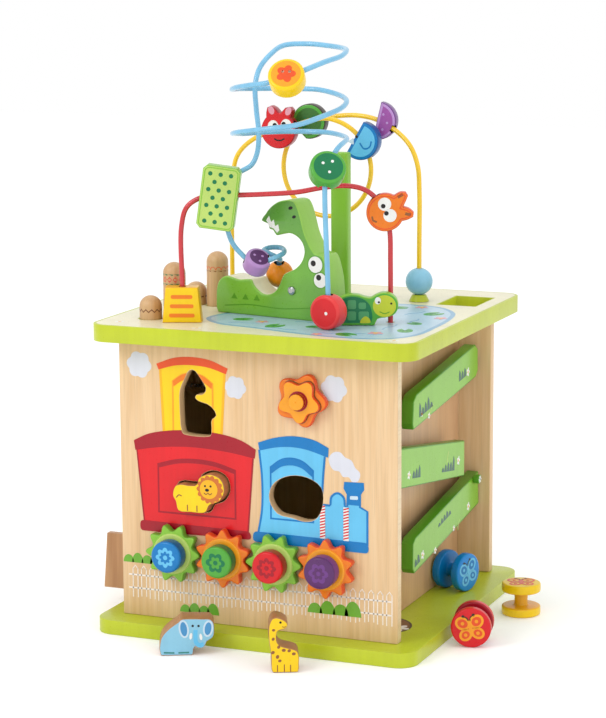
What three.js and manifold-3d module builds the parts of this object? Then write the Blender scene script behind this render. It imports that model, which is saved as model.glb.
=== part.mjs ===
// Wooden activity cube: a box on a base board with a train front of turning gears and animal
// shape holes, a zigzag roller run on one side, and a bead maze with pop-up pegs on the top board.
// Millimetres, +Z up. The origin is the centre of the base board's underside, the train is on the
// -Y face and the roller run is on the +X face.
import * as THREE from 'three';
import { mergeVertices } from 'three/addons/utils/BufferGeometryUtils.js';
import Module from 'manifold-3d';

const wasm = await Module();
wasm.setup();

// ---- driving dimensions -------------------------------------------------------------------
const BOARD = 350;            // side of the square base and top boards
const BOARD_CORNER = 20;      // their corner radius
const BASE_T = 15;
const TOP_UNDER = 305.5;      // underside of the top board
const TOP = 323;              // upper face of the top board
const PANEL_T = 11;
const SIDE_T = 9;             // thickness of the left panel
const FRONT = -146;           // outer face of the front panel
const BACK = 155.4;           // outer face of the back panel
const LEFT = -153.6;          // outer face of the left panel
const RIGHT = 149.5;          // right-hand ends of the front and back panels
const WALL = 113;             // outer face of the wall behind the roller run
const WALL_T = 9;
const GAP = 0.3;              // clearance between pieces that touch

const RAMP_T = 12.5;
const RAMP_FACE = 137;        // outer face of the three ramp boards

const GEAR_Z = 87.5;
const GEAR_X = [-91.3, -35.3, 20.7, 76.7];
const GEAR_TEETH = 10;
const GEAR_TIP = 30.5;
const GEAR_ROOT = 23.5;
const GEAR_T = 9.5;
const GEAR_BACK = FRONT - 2.5;
const KNOB_R = 16.5;
const KNOB_T = 16;
const AXLE_R = 4;

const WIRE_R = 2.6;
const FOOT_HOLE_R = 3.2;      // wire sockets in the top board
const WIRE_START = TOP_UNDER + 2;
const TUBE_SIDES = 6;

const YELLOW_Y = 85;          // plane of the yellow wire
const LOOP = { x: -17.5, z: 463, r: 53, shift: 12 };
const HELIX = { x: 13.2, y: -89.8, r: 57 };
const RED_FROM = new THREE.Vector2(-91, -125);
const RED_TO = new THREE.Vector2(108.2, -56);

const ROLLER = { r: 20.5, disc: 9.5, length: 34, axle: 7 };
const PEG_R = 11.5;
const PEG_TRAVEL = 33.5;
const PEG_LOW = 24;           // how far a pushed-down peg stands above the top board

// ---- finishes -----------------------------------------------------------------------------
function finish(color, roughness = 0.45, metalness = 0) {
  return new THREE.MeshStandardMaterial({ color, roughness, metalness });
}
const PINE = 0xdeb887;
const LIME = 0xbcc83e;
const LEAF = 0x6fb03a;
const MOSS = 0x4f8a35;
const ORANGE = 0xee7a22;
const RED = 0xd2303a;
const YELLOW = 0xf2c41c;
const BLUE = 0x1585bd;
const SKY = 0x86bcd8;
const PURPLE = 0x6a3a86;
const NATURAL = 0xc89a68;
const STEEL = 0xb8b8b8;

// ---- helpers ------------------------------------------------------------------------------
function solid(geometry) {
  const bare = geometry.clone();
  bare.deleteAttribute('normal');
  bare.deleteAttribute('uv');
  const merged = mergeVertices(bare, 1e-4);
  const mesh = new wasm.Mesh({
    numProp: 3,
    vertProperties: new Float32Array(merged.attributes.position.array),
    triVerts: new Uint32Array(merged.index.array),
  });
  return new wasm.Manifold(mesh);
}

function surface(body) {
  const mesh = body.getMesh();
  const geometry = new THREE.BufferGeometry();
  geometry.setAttribute('position', new THREE.BufferAttribute(mesh.vertProperties, 3));
  geometry.setIndex(new THREE.BufferAttribute(mesh.triVerts, 1));
  geometry.computeVertexNormals();
  return geometry;
}

function cut(geometry, ...tools) {
  return surface(tools.reduce((body, tool) => body.subtract(solid(tool)), solid(geometry)));
}

function join(geometry, ...others) {
  return surface(others.reduce((body, other) => body.add(solid(other)), solid(geometry)));
}

const group = new THREE.Group();

function place(name, geometry, material) {
  const mesh = new THREE.Mesh(geometry, material);
  mesh.name = name;
  group.add(mesh);
  return mesh;
}

function box(x0, x1, y0, y1, z0, z1) {
  const geometry = new THREE.BoxGeometry(x1 - x0, y1 - y0, z1 - z0);
  return geometry.translate((x0 + x1) / 2, (y0 + y1) / 2, (z0 + z1) / 2);
}

// A cylinder, or a cone if two radii are given, centred at a point with its axis along a direction.
function rod(center, direction, length, radius, sides = 24, endRadius = radius) {
  const geometry = new THREE.CylinderGeometry(endRadius, radius, length, sides);
  const turn = new THREE.Quaternion().setFromUnitVectors(
    new THREE.Vector3(0, 1, 0), direction.clone().normalize());
  return geometry.applyQuaternion(turn).translate(center.x, center.y, center.z);
}

function vec(x, y, z) {
  return new THREE.Vector3(x, y, z);
}

// A closed smooth outline through a few points, or a straight-sided one.
function smooth(points, divisions) {
  const curve = new THREE.CatmullRomCurve3(points.map(([x, y]) => vec(x, y, 0)), true, 'centripetal');
  return curve.getPoints(divisions).slice(0, -1).map((p) => new THREE.Vector2(p.x, p.y));
}
function straight(points) {
  return points.map(([x, y]) => new THREE.Vector2(x, y));
}

// Moves an anticlockwise outline outwards by a distance.
function grown(outline, distance) {
  const count = outline.length;
  return outline.map((point, i) => {
    const before = outline[(i + count - 1) % count];
    const after = outline[(i + 1) % count];
    const along = after.clone().sub(before).normalize();
    return new THREE.Vector2(point.x + along.y * distance, point.y - along.x * distance);
  });
}

// A board cut to an outline (x to the right, y up), standing upright with its middle plane
// through `at`, and its front turned by `heading` degrees from -Y.
function standing(outline, thickness, at, heading = 0) {
  const geometry = new THREE.ExtrudeGeometry(new THREE.Shape(outline),
    { depth: thickness, bevelEnabled: false });
  geometry.translate(0, 0, -thickness / 2).rotateX(Math.PI / 2);
  return geometry.rotateZ(THREE.MathUtils.degToRad(heading)).translate(at.x, at.y, at.z);
}

// A flat board with rounded corners, lying between two heights.
function roundedBoard(side, corner, z0, z1) {
  const half = side / 2;
  const shape = new THREE.Shape();
  shape.absarc(half - corner, half - corner, corner, 0, Math.PI / 2);
  shape.absarc(-half + corner, half - corner, corner, Math.PI / 2, Math.PI);
  shape.absarc(-half + corner, -half + corner, corner, Math.PI, 1.5 * Math.PI);
  shape.absarc(half - corner, -half + corner, corner, 1.5 * Math.PI, 2 * Math.PI);
  const options = { depth: z1 - z0, bevelEnabled: false, curveSegments: 6 };
  return new THREE.ExtrudeGeometry(shape, options).translate(0, 0, z0);
}

// A round tube of constant radius along a smooth curve through points.
function tube(points, radius, step) {
  const path = new THREE.CatmullRomCurve3(points, false, 'centripetal');
  const section = new THREE.Shape();
  for (let k = 0; k < TUBE_SIDES; k += 1) {
    const angle = (k + 0.5) * 2 * Math.PI / TUBE_SIDES;
    section[k ? 'lineTo' : 'moveTo'](radius * Math.cos(angle), radius * Math.sin(angle));
  }
  const steps = Math.ceil(path.getLength() / step);
  return new THREE.ExtrudeGeometry(section, { steps, extrudePath: path, bevelEnabled: false });
}

function lathe(profile, sides) {
  return new THREE.LatheGeometry(profile.map(([r, h]) => new THREE.Vector2(r, h)), sides);
}

// ---- routes of the three wires ------------------------------------------------------------
function yellowRoute() {
  const front = YELLOW_Y - LOOP.shift;
  const back = YELLOW_Y + LOOP.shift;
  const points = [
    vec(-130, YELLOW_Y, WIRE_START), vec(-130, YELLOW_Y, 400), vec(-129, YELLOW_Y, 440),
    vec(-121, YELLOW_Y - 4, 472), vec(-98, YELLOW_Y - 9, 492), vec(-60, front, 504),
  ];
  const turnSteps = 20;
  for (let k = 0; k <= turnSteps; k += 1) {
    const turn = k / turnSteps;
    const angle = Math.PI / 2 - turn * 2 * Math.PI;
    points.push(vec(LOOP.x + LOOP.r * Math.cos(angle), front + turn * (back - front),
      LOOP.z + LOOP.r * Math.sin(angle)));
  }
  points.push(vec(12, back, 518), vec(36, back - 1, 514), vec(60, back - 4, 502),
    vec(77, YELLOW_Y + 3, 487), vec(86, YELLOW_Y, 467), vec(88, YELLOW_Y, 440),
    vec(88, YELLOW_Y, 380), vec(88, YELLOW_Y, WIRE_START));
  return points;
}

function redRoute() {
  const along = RED_TO.clone().sub(RED_FROM).normalize();
  const profile = [
    [0, WIRE_START], [0, 360], [0, 420], [6, 440], [21.7, 449.8], [44.5, 451.3], [87, 453],
    [117, 455], [144, 459.7], [168, 461.3], [185, 457.4], [197, 448], [206, 434], [210, 415.5],
    [210.8, 383.6], [210.8, WIRE_START],
  ];
  return profile.map(([s, z]) => vec(RED_FROM.x + s * along.x, RED_FROM.y + s * along.y, z));
}

// Heights of the three turns of the blue wire, by angle round the coil's upright axis.
const COIL_RISE = [
  [-10, 502], [22, 508], [70, 511], [165, 511], [203, 514], [301, 527], [334, 536], [382, 546],
  [442, 554], [505, 555.5], [563, 558], [633, 568], [690, 587], [742, 596], [813, 600], [838, 598.5],
];
function coilPoint(degrees, height) {
  const angle = THREE.MathUtils.degToRad(degrees);
  return vec(HELIX.x + HELIX.r * Math.cos(angle), HELIX.y + HELIX.r * Math.sin(angle), height);
}
function blueRoute() {
  const points = [vec(67, -118.5, WIRE_START), vec(65, -118.5, 380), vec(62.5, -118.5, 460),
    vec(62.8, -117, 473), vec(64, -110.5, 487), vec(66.5, -104, 496)];
  for (let k = 0; k + 1 < COIL_RISE.length; k += 1) {
    const [from, low] = COIL_RISE[k];
    const [to, high] = COIL_RISE[k + 1];
    const pieces = Math.max(1, Math.round((to - from) / 25));
    for (let j = 0; j < pieces; j += 1) {
      const part = j / pieces;
      points.push(coilPoint(from + part * (to - from), low + part * (high - low)));
    }
  }
  points.push(
    coilPoint(838, 598.5), vec(-20, -57, 591), vec(-27, -71, 577), vec(-29, -78, 560),
    vec(-28.5, -77, 536), vec(-26.5, -76, 511), vec(-28, -77, 492), vec(-33, -80, 480),
    vec(-45, -86, 471.5), vec(-53, -89, 459), vec(-57, -90, 437), vec(-56, -90, 415),
    vec(-51, -89.5, 401), vec(-42.5, -89, 391), vec(-33, -88, 383.5), vec(-21, -85.5, 382),
    vec(-9, -78, 386), vec(-4, -66, 390), vec(-12, -54, 393), vec(-24, -55, 393),
    vec(-28, -61.5, 391), vec(-20, -67, 388.5), vec(-11, -64, 384), vec(-13, -54, 380.5),
    vec(-21, -38, 378), vec(-27, -25, 374), vec(-27.5, -22.5, 366), vec(-27.5, -22.5, 345),
    vec(-27.5, -22.5, WIRE_START));
  return points;
}

const ROUTES = {};
for (const [name, points] of Object.entries({
  yellow: yellowRoute(), red: redRoute(), blue: blueRoute() })) {
  ROUTES[name] = new THREE.CatmullRomCurve3(points, false, 'centripetal');
}
// The point of a wire nearest to a place, and the wire's direction there.
function onWire(name, place) {
  const samples = 1500;
  let best = { distance: Infinity, part: 0 };
  for (let k = 1; k < samples; k += 1) {
    const distance = ROUTES[name].getPointAt(k / samples).distanceTo(place);
    if (distance < best.distance) {
      best = { distance, part: k / samples };
    }
  }
  return { part: best.part, point: ROUTES[name].getPointAt(best.part),
    along: ROUTES[name].getTangentAt(best.part) };
}
// A cutter that follows a wire for some way on both sides of a point.
function wireBore(name, part, reach, radius) {
  const points = [];
  const steps = 8;
  const share = reach / ROUTES[name].getLength();
  for (let k = -steps; k <= steps; k += 1) {
    points.push(ROUTES[name].getPointAt(part + share * k / steps));
  }
  return tube(points, radius, reach / 4);
}

// ---- boards -------------------------------------------------------------------------------
function panelHole(outline) {
  return standing(outline, 3 * PANEL_T, vec(0, FRONT + PANEL_T / 2, 0));
}

const giraffeOutline = smooth([
  [-70, 276], [-64, 269], [-58, 259], [-61, 255], [-68, 254], [-70, 249], [-66, 245], [-53, 241],
  [-47, 233], [-52, 229], [-52.5, 214], [-54, 212.5], [-80, 212.5], [-82, 214], [-84, 240],
  [-83.5, 256], [-78, 268], [-74, 275.5],
].reverse(), 44);
const elephantOutline = smooth([
  [14, 152], [18, 166], [33, 175], [52, 175.5], [67, 167], [68.5, 151], [62, 137], [52, 133.5],
  [37, 136], [22, 139],
].reverse(), 32);
const lionOutline = smooth([
  [-90, 149], [-86, 160], [-64, 161.5], [-60, 169.5], [-48, 174], [-36, 169.5], [-32.5, 158],
  [-38, 147], [-49, 142], [-54, 134], [-70, 132.8], [-84, 133.5], [-87, 143],
].reverse(), 40);

function gearAxis(x) {
  return rod(vec(x, FRONT, GEAR_Z), vec(0, 1, 0), 60, AXLE_R + 0.5, 16);
}
const STAR = { x: 50.3, z: 256.7 };

const DOOR = { hinge: -65, z0: 17, z1: 77.5, wide: 67, slant: 4.5, pin: 1.6, low: 8, high: 94 };
const DOOR_T = SIDE_T - 1;
const DOOR_X = LEFT + SIDE_T / 2;
function doorPin(radius) {
  return rod(vec(DOOR_X, DOOR.hinge, (DOOR.low + DOOR.high) / 2), vec(0, 0, 1), DOOR.high - DOOR.low,
    radius, 10);
}
place('base_board', cut(roundedBoard(BOARD, BOARD_CORNER, 0, BASE_T), doorPin(DOOR.pin + 0.2)),
  finish(LIME, 0.4));

const PEGS = [
  { name: 'peg_1', x: -130, y: -119, up: 0, stem: 0 },
  { name: 'peg_2', x: -109.5, y: -105, up: 1, stem: 26 },
  { name: 'peg_3', x: -102.3, y: -14.8, up: 1, stem: 0 },
  { name: 'peg_4', x: -127.5, y: -14.5, up: 0, stem: 26 },
];
const ROLLER_HOLE = [113.5, 156, 70, 134];
const WIRE_FEET = [[-130, YELLOW_Y], [88, YELLOW_Y], [RED_FROM.x, RED_FROM.y], [RED_TO.x, RED_TO.y],
  [67, -118.5], [-27.5, -22.5]];
const ROCKERS = [
  { name: 'rocker_1', from: PEGS[0], to: PEGS[2], drop: 0, reach: 13 },
  { name: 'rocker_2', from: PEGS[3], to: PEGS[1], drop: 26, reach: 17 },
];
const PIVOT_R = 2;           // rod of a rocker's bent pivot; `reach` is half the pivot's width

function rockerFrame({ from, to }) {
  const along = vec(to.x - from.x, to.y - from.y, 0);
  const arm = along.length() / 2;
  along.normalize();
  return { arm, along, across: vec(along.y, -along.x, 0),
    middle: vec((from.x + to.x) / 2, (from.y + to.y) / 2, 0) };
}
function pivotLegs(rocker) {
  const { across, middle } = rockerFrame(rocker);
  return [-1, 1].map((side) => middle.clone().addScaledVector(across, side * rocker.reach));
}

function topBoard() {
  const [x0, x1, y0, y1] = ROLLER_HOLE;
  const holes = [box(x0, x1, y0, y1, TOP_UNDER - 5, TOP + 5)];
  const up = vec(0, 0, 1);
  for (const peg of PEGS) {
    holes.push(rod(vec(peg.x, peg.y, TOP), up, 60, PEG_R + 0.6, 20));
  }
  for (const [x, y] of WIRE_FEET) {
    holes.push(rod(vec(x, y, TOP), up, 60, FOOT_HOLE_R, 10));
  }
  for (const rocker of ROCKERS) {
    for (const leg of pivotLegs(rocker)) {
      holes.push(rod(vec(leg.x, leg.y, TOP_UNDER), up, 16, PIVOT_R + 0.3, 10));
    }
  }
  return cut(roundedBoard(BOARD, BOARD_CORNER, TOP_UNDER, TOP), ...holes);
}
place('top_board', topBoard(), finish(LIME, 0.4));

const Z0 = BASE_T + GAP;
const Z1 = TOP_UNDER - GAP;
function frontPanel() {
  const holes = [
    panelHole(grown(giraffeOutline, 1.6)),
    panelHole(grown(elephantOutline, 1.6)),
    panelHole(grown(lionOutline, 1.8)),
    rod(vec(STAR.x, FRONT, STAR.z), vec(0, 1, 0), 60, AXLE_R + 0.5, 16),
  ];
  for (const x of GEAR_X) {
    holes.push(gearAxis(x));
  }
  return cut(box(LEFT, RIGHT, FRONT, FRONT + PANEL_T, Z0, Z1), ...holes);
}
place('front_panel', frontPanel(), finish(PINE, 0.55));
place('back_panel', box(LEFT, RIGHT, BACK - PANEL_T, BACK, Z0, Z1), finish(PINE, 0.55));

function doorOutline(extra) {
  // x is the distance from the hinge, y is the height
  return straight([
    [-DOOR_T / 2 - extra, BASE_T - extra], [DOOR.wide + extra, BASE_T - extra],
    [DOOR.wide - DOOR.slant + extra, DOOR.z1 + extra], [-DOOR_T / 2 - extra, DOOR.z1 + extra],
  ]);
}
function leftPanel() {
  const opening = standing(doorOutline(1), 3 * PANEL_T, vec(0, 0, 0));
  opening.rotateZ(Math.PI / 2).translate(DOOR_X, DOOR.hinge, 0);
  return cut(box(LEFT, LEFT + SIDE_T, FRONT + PANEL_T + GAP, BACK - PANEL_T - GAP, Z0, Z1),
    opening, doorPin(DOOR.pin + 0.2));
}
place('left_panel', leftPanel(), finish(PINE, 0.55));
place('ramp_wall', box(WALL - WALL_T, WALL, FRONT + PANEL_T + GAP, BACK - PANEL_T - GAP, Z0, Z1),
  finish(PINE, 0.55));

// ---- door on the left side, standing open -------------------------------------------------
function door() {
  const leafShape = straight([[0, DOOR.z0], [DOOR.wide, DOOR.z0], [DOOR.wide - DOOR.slant, DOOR.z1],
    [0, DOOR.z1]]);
  const leaf = standing(leafShape, DOOR_T, vec(0, 0, 0)).rotateZ(Math.PI);
  const edge = rod(vec(0, 0, (DOOR.z0 + DOOR.z1) / 2), vec(0, 0, 1), DOOR.z1 - DOOR.z0, DOOR_T / 2, 20);
  const leafAndEdge = join(leaf, edge).translate(DOOR_X, DOOR.hinge, 0);
  return cut(leafAndEdge, doorPin(DOOR.pin + 0.25));
}
place('door', door(), finish(NATURAL, 0.6));
place('door_pin', doorPin(DOOR.pin), finish(STEEL, 0.35, 1));

// ---- roller run ---------------------------------------------------------------------------
// Outlines are (y, z). Each board stands off the wall on a strip behind its lower half, so that
// the inner disc of a roller passes behind it while the axle rolls along its top edge.
const RAMPS = [
  { name: 'upper_ramp', top: [[128, 272], [-58, 251]], bottom: [[-66, 216], [131, 236]],
    nose: [[-66.5, 245], [-69, 222]], tail: [[138, 242], [137, 266]] },
  { name: 'middle_ramp', top: [[94.5, 173], [-134, 209]], bottom: [[-134, 167.5], [94.5, 134]],
    nose: [], tail: [] },
  { name: 'lower_ramp', top: [[141, 129], [-60, 102]], bottom: [[-63, 65.5], [143.5, 93]],
    nose: [[-67, 97], [-68, 71]], tail: [] },
];
const STRIP_H = 17;
function ramp({ top, bottom, nose, tail }) {
  const outline = [...top, ...nose, ...bottom, ...tail];
  const spin = (geometry, x) => geometry.rotateZ(Math.PI / 2).translate(x, 0, 0);
  const board = spin(standing(straight(outline).reverse(), RAMP_T, vec(0, 0, 0)), RAMP_FACE - RAMP_T / 2);
  const inset = 6;
  const [b0, b1] = bottom;
  const strip = [[b0[0] + inset, b0[1] + 1], [b1[0] - inset, b1[1] + 1],
    [b1[0] - inset, b1[1] + STRIP_H], [b0[0] + inset, b0[1] + STRIP_H]];
  const gap = RAMP_FACE - RAMP_T - WALL - GAP;
  const spacer = spin(standing(straight(strip), gap + 1, vec(0, 0, 0)), WALL + GAP + (gap + 1) / 2);
  return join(board, spacer);
}
for (const each of RAMPS) {
  place(each.name, ramp(each), finish(LEAF, 0.4));
}
place('ramp_stop', rod(vec(RAMP_FACE + GAP + 3.5, 126, 124), vec(1, 0, 0), 7, 5, 14), finish(LEAF, 0.4));

function roller() {
  const { r, disc, length, axle } = ROLLER;
  const half = length / 2;
  const inner = half - disc;
  const chamfer = 1.5;
  return lathe([
    [0, -half], [r - chamfer, -half], [r, -half + chamfer], [r, -inner - chamfer],
    [r - chamfer, -inner], [axle, -inner], [axle, inner], [r - chamfer, inner],
    [r, inner + chamfer], [r, half - chamfer], [r - chamfer, half], [0, half],
  ], 18);
}
const BLUE_TURN = THREE.MathUtils.degToRad(73);
place('blue_roller', roller().rotateZ(BLUE_TURN).translate(136.6, 68.3, BASE_T + ROLLER.r + GAP),
  finish(BLUE, 0.3));
const RED_HEADING = THREE.MathUtils.degToRad(12);
place('red_roller', roller().rotateZ(RED_HEADING).translate(
  205 - ROLLER.length / 2 * Math.sin(RED_HEADING), -83.5 + ROLLER.length / 2 * Math.cos(RED_HEADING),
  ROLLER.r), finish(RED, 0.3));
place('yellow_roller', roller().rotateX(Math.PI / 2).translate(214.7, 54.5, ROLLER.length / 2),
  finish(YELLOW, 0.3));

// ---- gears and knobs on the front ---------------------------------------------------------
function gearOutline(phase) {
  const points = [];
  const pitch = 2 * Math.PI / GEAR_TEETH;
  const profile = [[-0.3, GEAR_ROOT], [-0.13, GEAR_TIP - 1.2], [0, GEAR_TIP], [0.13, GEAR_TIP - 1.2],
    [0.3, GEAR_ROOT]];
  for (let tooth = 0; tooth < GEAR_TEETH; tooth += 1) {
    for (const [share, radius] of profile) {
      const angle = (tooth + share) * pitch + phase;
      points.push([radius * Math.cos(angle), radius * Math.sin(angle)]);
    }
  }
  return straight(points);
}
const alongY = vec(0, 1, 0);
function gear(x, phase) {
  const blank = standing(gearOutline(phase), GEAR_T, vec(x, GEAR_BACK - GEAR_T / 2, GEAR_Z));
  return cut(blank, rod(vec(x, GEAR_BACK, GEAR_Z), alongY, 40, AXLE_R + GAP, 16));
}
function knob(x) {
  const back = GEAR_BACK - GEAR_T - GAP;
  const body = lathe([[0, 0], [KNOB_R - 1, 0], [KNOB_R, 1], [KNOB_R, KNOB_T - 3],
    [KNOB_R - 2, KNOB_T], [0, KNOB_T]], 24);
  body.rotateX(Math.PI).translate(x, back, GEAR_Z);
  return cut(body, rod(vec(x, back, GEAR_Z), alongY, 20, AXLE_R + GAP, 16));
}
function axle(x) {
  const front = GEAR_BACK - GEAR_T - 9;
  const inside = FRONT + PANEL_T + 1;
  const shaft = rod(vec(x, (front + inside) / 2, GEAR_Z), alongY, inside - front, AXLE_R, 16);
  const head = rod(vec(x, inside + 3, GEAR_Z), alongY, 6, 9, 16);
  return join(shaft, head);
}
const GEAR_COLORS = [LEAF, ORANGE, LEAF, ORANGE];
const KNOB_COLORS = [BLUE, LEAF, RED, PURPLE];
GEAR_X.forEach((x, i) => {
  place(`gear_${i + 1}`, gear(x, (i % 2) * Math.PI / GEAR_TEETH), finish(GEAR_COLORS[i], 0.35));
  place(`gear_knob_${i + 1}`, knob(x), finish(KNOB_COLORS[i], 0.3));
  place(`gear_axle_${i + 1}`, axle(x), finish(NATURAL, 0.6));
});

function starKnob() {
  const outer = [];
  const inner = [];
  const points = 40;
  for (let k = 0; k < points; k += 1) {
    const angle = k * 2 * Math.PI / points;
    const lobe = 24.5 + 3.4 * Math.cos(5 * angle + 0.4);
    const star = 19.5 + 3.2 * Math.cos(5 * angle + 1.4);
    outer.push([lobe * Math.cos(angle), lobe * Math.sin(angle)]);
    inner.push([star * Math.cos(angle), star * Math.sin(angle)]);
  }
  const back = FRONT - 1.5;
  const plate = standing(straight(outer), 8, vec(STAR.x, back - 4, STAR.z));
  const star = standing(straight(inner), 5.5, vec(STAR.x, back - 10.25, STAR.z));
  const grip = rod(vec(STAR.x, back - 16, STAR.z), alongY, 8, 8, 24);
  const shaft = rod(vec(STAR.x, back + 8, STAR.z), alongY, 17, AXLE_R, 16);
  const head = rod(vec(STAR.x, FRONT + PANEL_T + 4, STAR.z), alongY, 6, 9, 16);
  return join(plate, star, grip, shaft, head);
}
place('star_knob', starKnob(), finish(ORANGE, 0.35));

// ---- animals ------------------------------------------------------------------------------
const ANIMAL_T = 26;
place('lion', standing(lionOutline, ANIMAL_T, vec(0, FRONT - 11 + ANIMAL_T / 2, 0)), finish(YELLOW, 0.5));

// Each loose shape stands on the floor with the lower left corner of its front at `corner`.
function looseShape(outline, corner, heading) {
  const turn = THREE.MathUtils.degToRad(heading);
  const back = vec(-Math.sin(turn), Math.cos(turn), 0);
  return standing(outline.reverse().map((p) => new THREE.Vector2(p.x, Math.max(0, p.y))), ANIMAL_T,
    vec(...corner, 0.3).addScaledVector(back, ANIMAL_T / 2), heading);
}
const elephantPiece = smooth([
  [0.5, 0], [-0.3, 12.6], [1.9, 19.7], [7.3, 26.1], [14.2, 31.5], [18.2, 34.2], [21.2, 36.9],
  [27, 37.6], [43, 37.1], [50, 36.6], [53.4, 32.9], [54.2, 25.7], [53, 18.6], [49.7, 15.6],
  [46.6, 13.6], [45.2, 10.4], [42.4, 7], [38.1, 6.9], [34.9, 8.6], [33.2, 5.9], [32, 0], [15, 0],
], 44);
place('elephant', looseShape(elephantPiece, [-74.3, -223.2], 26), finish(SKY, 0.5));
const giraffePiece = smooth([
  [0.7, 0], [-0.8, 6.3], [-0.8, 15.6], [-2, 24.9], [-3.1, 34.2], [-3, 45.8], [-1.8, 50.4],
  [0.4, 54.1], [4.5, 55.4], [9.4, 53.9], [13.8, 51.1], [15.4, 48.3], [13.8, 44.8], [9.3, 43.2],
  [5.4, 41.6], [4.4, 35.3], [5.4, 30], [9.8, 26.2], [17.7, 24.1], [23.9, 21.7], [26.1, 17.4],
  [26.1, 8.1], [25.1, 0], [12, 0],
], 48);
place('giraffe', looseShape(giraffePiece, [51.6, -233], 25), finish(YELLOW, 0.5));

// ---- pop-up pegs and the rockers under the top board --------------------------------------
const PEG_BODY = 85;
const NUB = 4.5;
function peg({ x, y, up, stem }) {
  const top = PEG_BODY;
  const profile = [[0, -stem - NUB], [NUB * 0.7, -stem - NUB * 0.7], [NUB, -stem], [NUB, -0.01], [PEG_R, 0],
    [PEG_R, top - 11], [PEG_R * 0.9, top - 6], [PEG_R * 0.66, top - 2.4], [PEG_R * 0.34, top - 0.5],
    [0, top]];
  const height = TOP + PEG_LOW + up * PEG_TRAVEL - PEG_BODY;
  return lathe(profile, 16).rotateX(Math.PI / 2).translate(x, y, height);
}
for (const each of PEGS) {
  place(each.name, peg(each), finish(NATURAL, 0.55));
}
const ROCKER_H = 7;
const ROCKER_W = 9;
const PEG_FOOT_MIDDLE = TOP + PEG_LOW + PEG_TRAVEL / 2 - PEG_BODY - NUB;
function rockerHeight({ drop }) {
  return PEG_FOOT_MIDDLE - drop - ROCKER_H / 2 - 1.2;
}
function rocker(each) {
  const { arm, along, across, middle } = rockerFrame(each);
  const lean = Math.asin(PEG_TRAVEL / 2 / arm);
  const bar = new THREE.BoxGeometry(2 * arm + 8, ROCKER_W, ROCKER_H);
  bar.rotateY(-lean).rotateZ(Math.atan2(along.y, along.x));
  const bore = rod(vec(0, 0, 0), across, 40, PIVOT_R + 0.3, 12);
  return cut(bar, bore).translate(middle.x, middle.y, rockerHeight(each));
}
function rockerPivot(each) {
  const { across, middle } = rockerFrame(each);
  const z = rockerHeight(each);
  const end = TOP_UNDER + 7;
  const at = (reach, height) => vec(middle.x, middle.y, height).addScaledVector(across, reach);
  const legLength = end - z + PIVOT_R;
  const legs = [-1, 1].map((side) => rod(at(side * each.reach, (end + z - PIVOT_R) / 2), vec(0, 0, 1),
    legLength, PIVOT_R, 10));
  return join(rod(at(0, z), across, 2 * each.reach, PIVOT_R * 0.95, 10), ...legs);
}
ROCKERS.forEach((each, i) => {
  place(each.name, rocker(each), finish(NATURAL, 0.6));
  place(`rocker_pivot_${i + 1}`, rockerPivot(each), finish(STEEL, 0.35, 1));
});

// ---- wires, post and foot -----------------------------------------------------------------
place('yellow_wire', tube(yellowRoute(), WIRE_R, 11), finish(YELLOW, 0.3));
place('red_wire', tube(redRoute(), WIRE_R, 11), finish(RED, 0.3));
place('blue_wire', tube(blueRoute(), WIRE_R, 9.5), finish(SKY, 0.3));
place('green_post', box(7, 26, 34, 46, TOP + GAP, 484), finish(LEAF, 0.4));
const footBore = rod(vec(88, YELLOW_Y, TOP), vec(0, 0, 1), 40, WIRE_R + 0.4, 12);
place('wire_foot', cut(rod(vec(88, YELLOW_Y, TOP + GAP + 3.5), vec(0, 0, 1), 7, 11, 20, 7.5), footBore),
  finish(LEAF, 0.4));

// ---- beads --------------------------------------------------------------------------------
const up = vec(0, 0, 1);
const DRUM_T = 17;
const BEAD_T = 14;

// A drum threaded across its diameter by a wire, with its flat faces turned one way. It may hang
// a little off the wire's middle, as the bore is wide.
function drum(wire, near, face, radius, thickness, bore, hang = 0) {
  const { part, point } = onWire(wire, near);
  const body = rod(point.clone().setZ(point.z - hang), face.clone().normalize(), thickness, radius, 20);
  return cut(body, wireBore(wire, part, 1.35 * radius, bore));
}
function ball(wire, near, radius, bore) {
  const { part, point } = onWire(wire, near);
  const body = new THREE.SphereGeometry(radius, 14, 10).rotateX(Math.PI / 2);
  return cut(body.translate(point.x, point.y, point.z), wireBore(wire, part, 1.4 * radius, bore));
}
place('red_drum', drum('blue', vec(67, -118.5, TOP + GAP + 17.5), vec(-0.17, -0.985, 0), 17.4, DRUM_T, 5),
  finish(RED, 0.3));
place('green_drum', drum('blue', vec(63.2, -114, 481.5), vec(0.45, -0.72, 0.53), 18, DRUM_T, 6),
  finish(MOSS, 0.3));
place('yellow_drum', drum('blue', coilPoint(651, 574), vec(0.2, -0.775, 0.57), 18, DRUM_T, 6, 1.5),
  finish(YELLOW, 0.3));
place('purple_drum', drum('blue', vec(-29, -87, 383), vec(0.52, -0.44, 0.73), 17.4, DRUM_T, 5.6),
  finish(PURPLE, 0.3));
place('orange_bead', ball('blue', vec(-27.5, -22.5, 361), 14.3, 5.6), finish(ORANGE, 0.3));
place('blue_ball', ball('yellow', vec(88, YELLOW_Y, 345.5), 14.5, 3.6), finish(SKY, 0.3));

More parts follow.
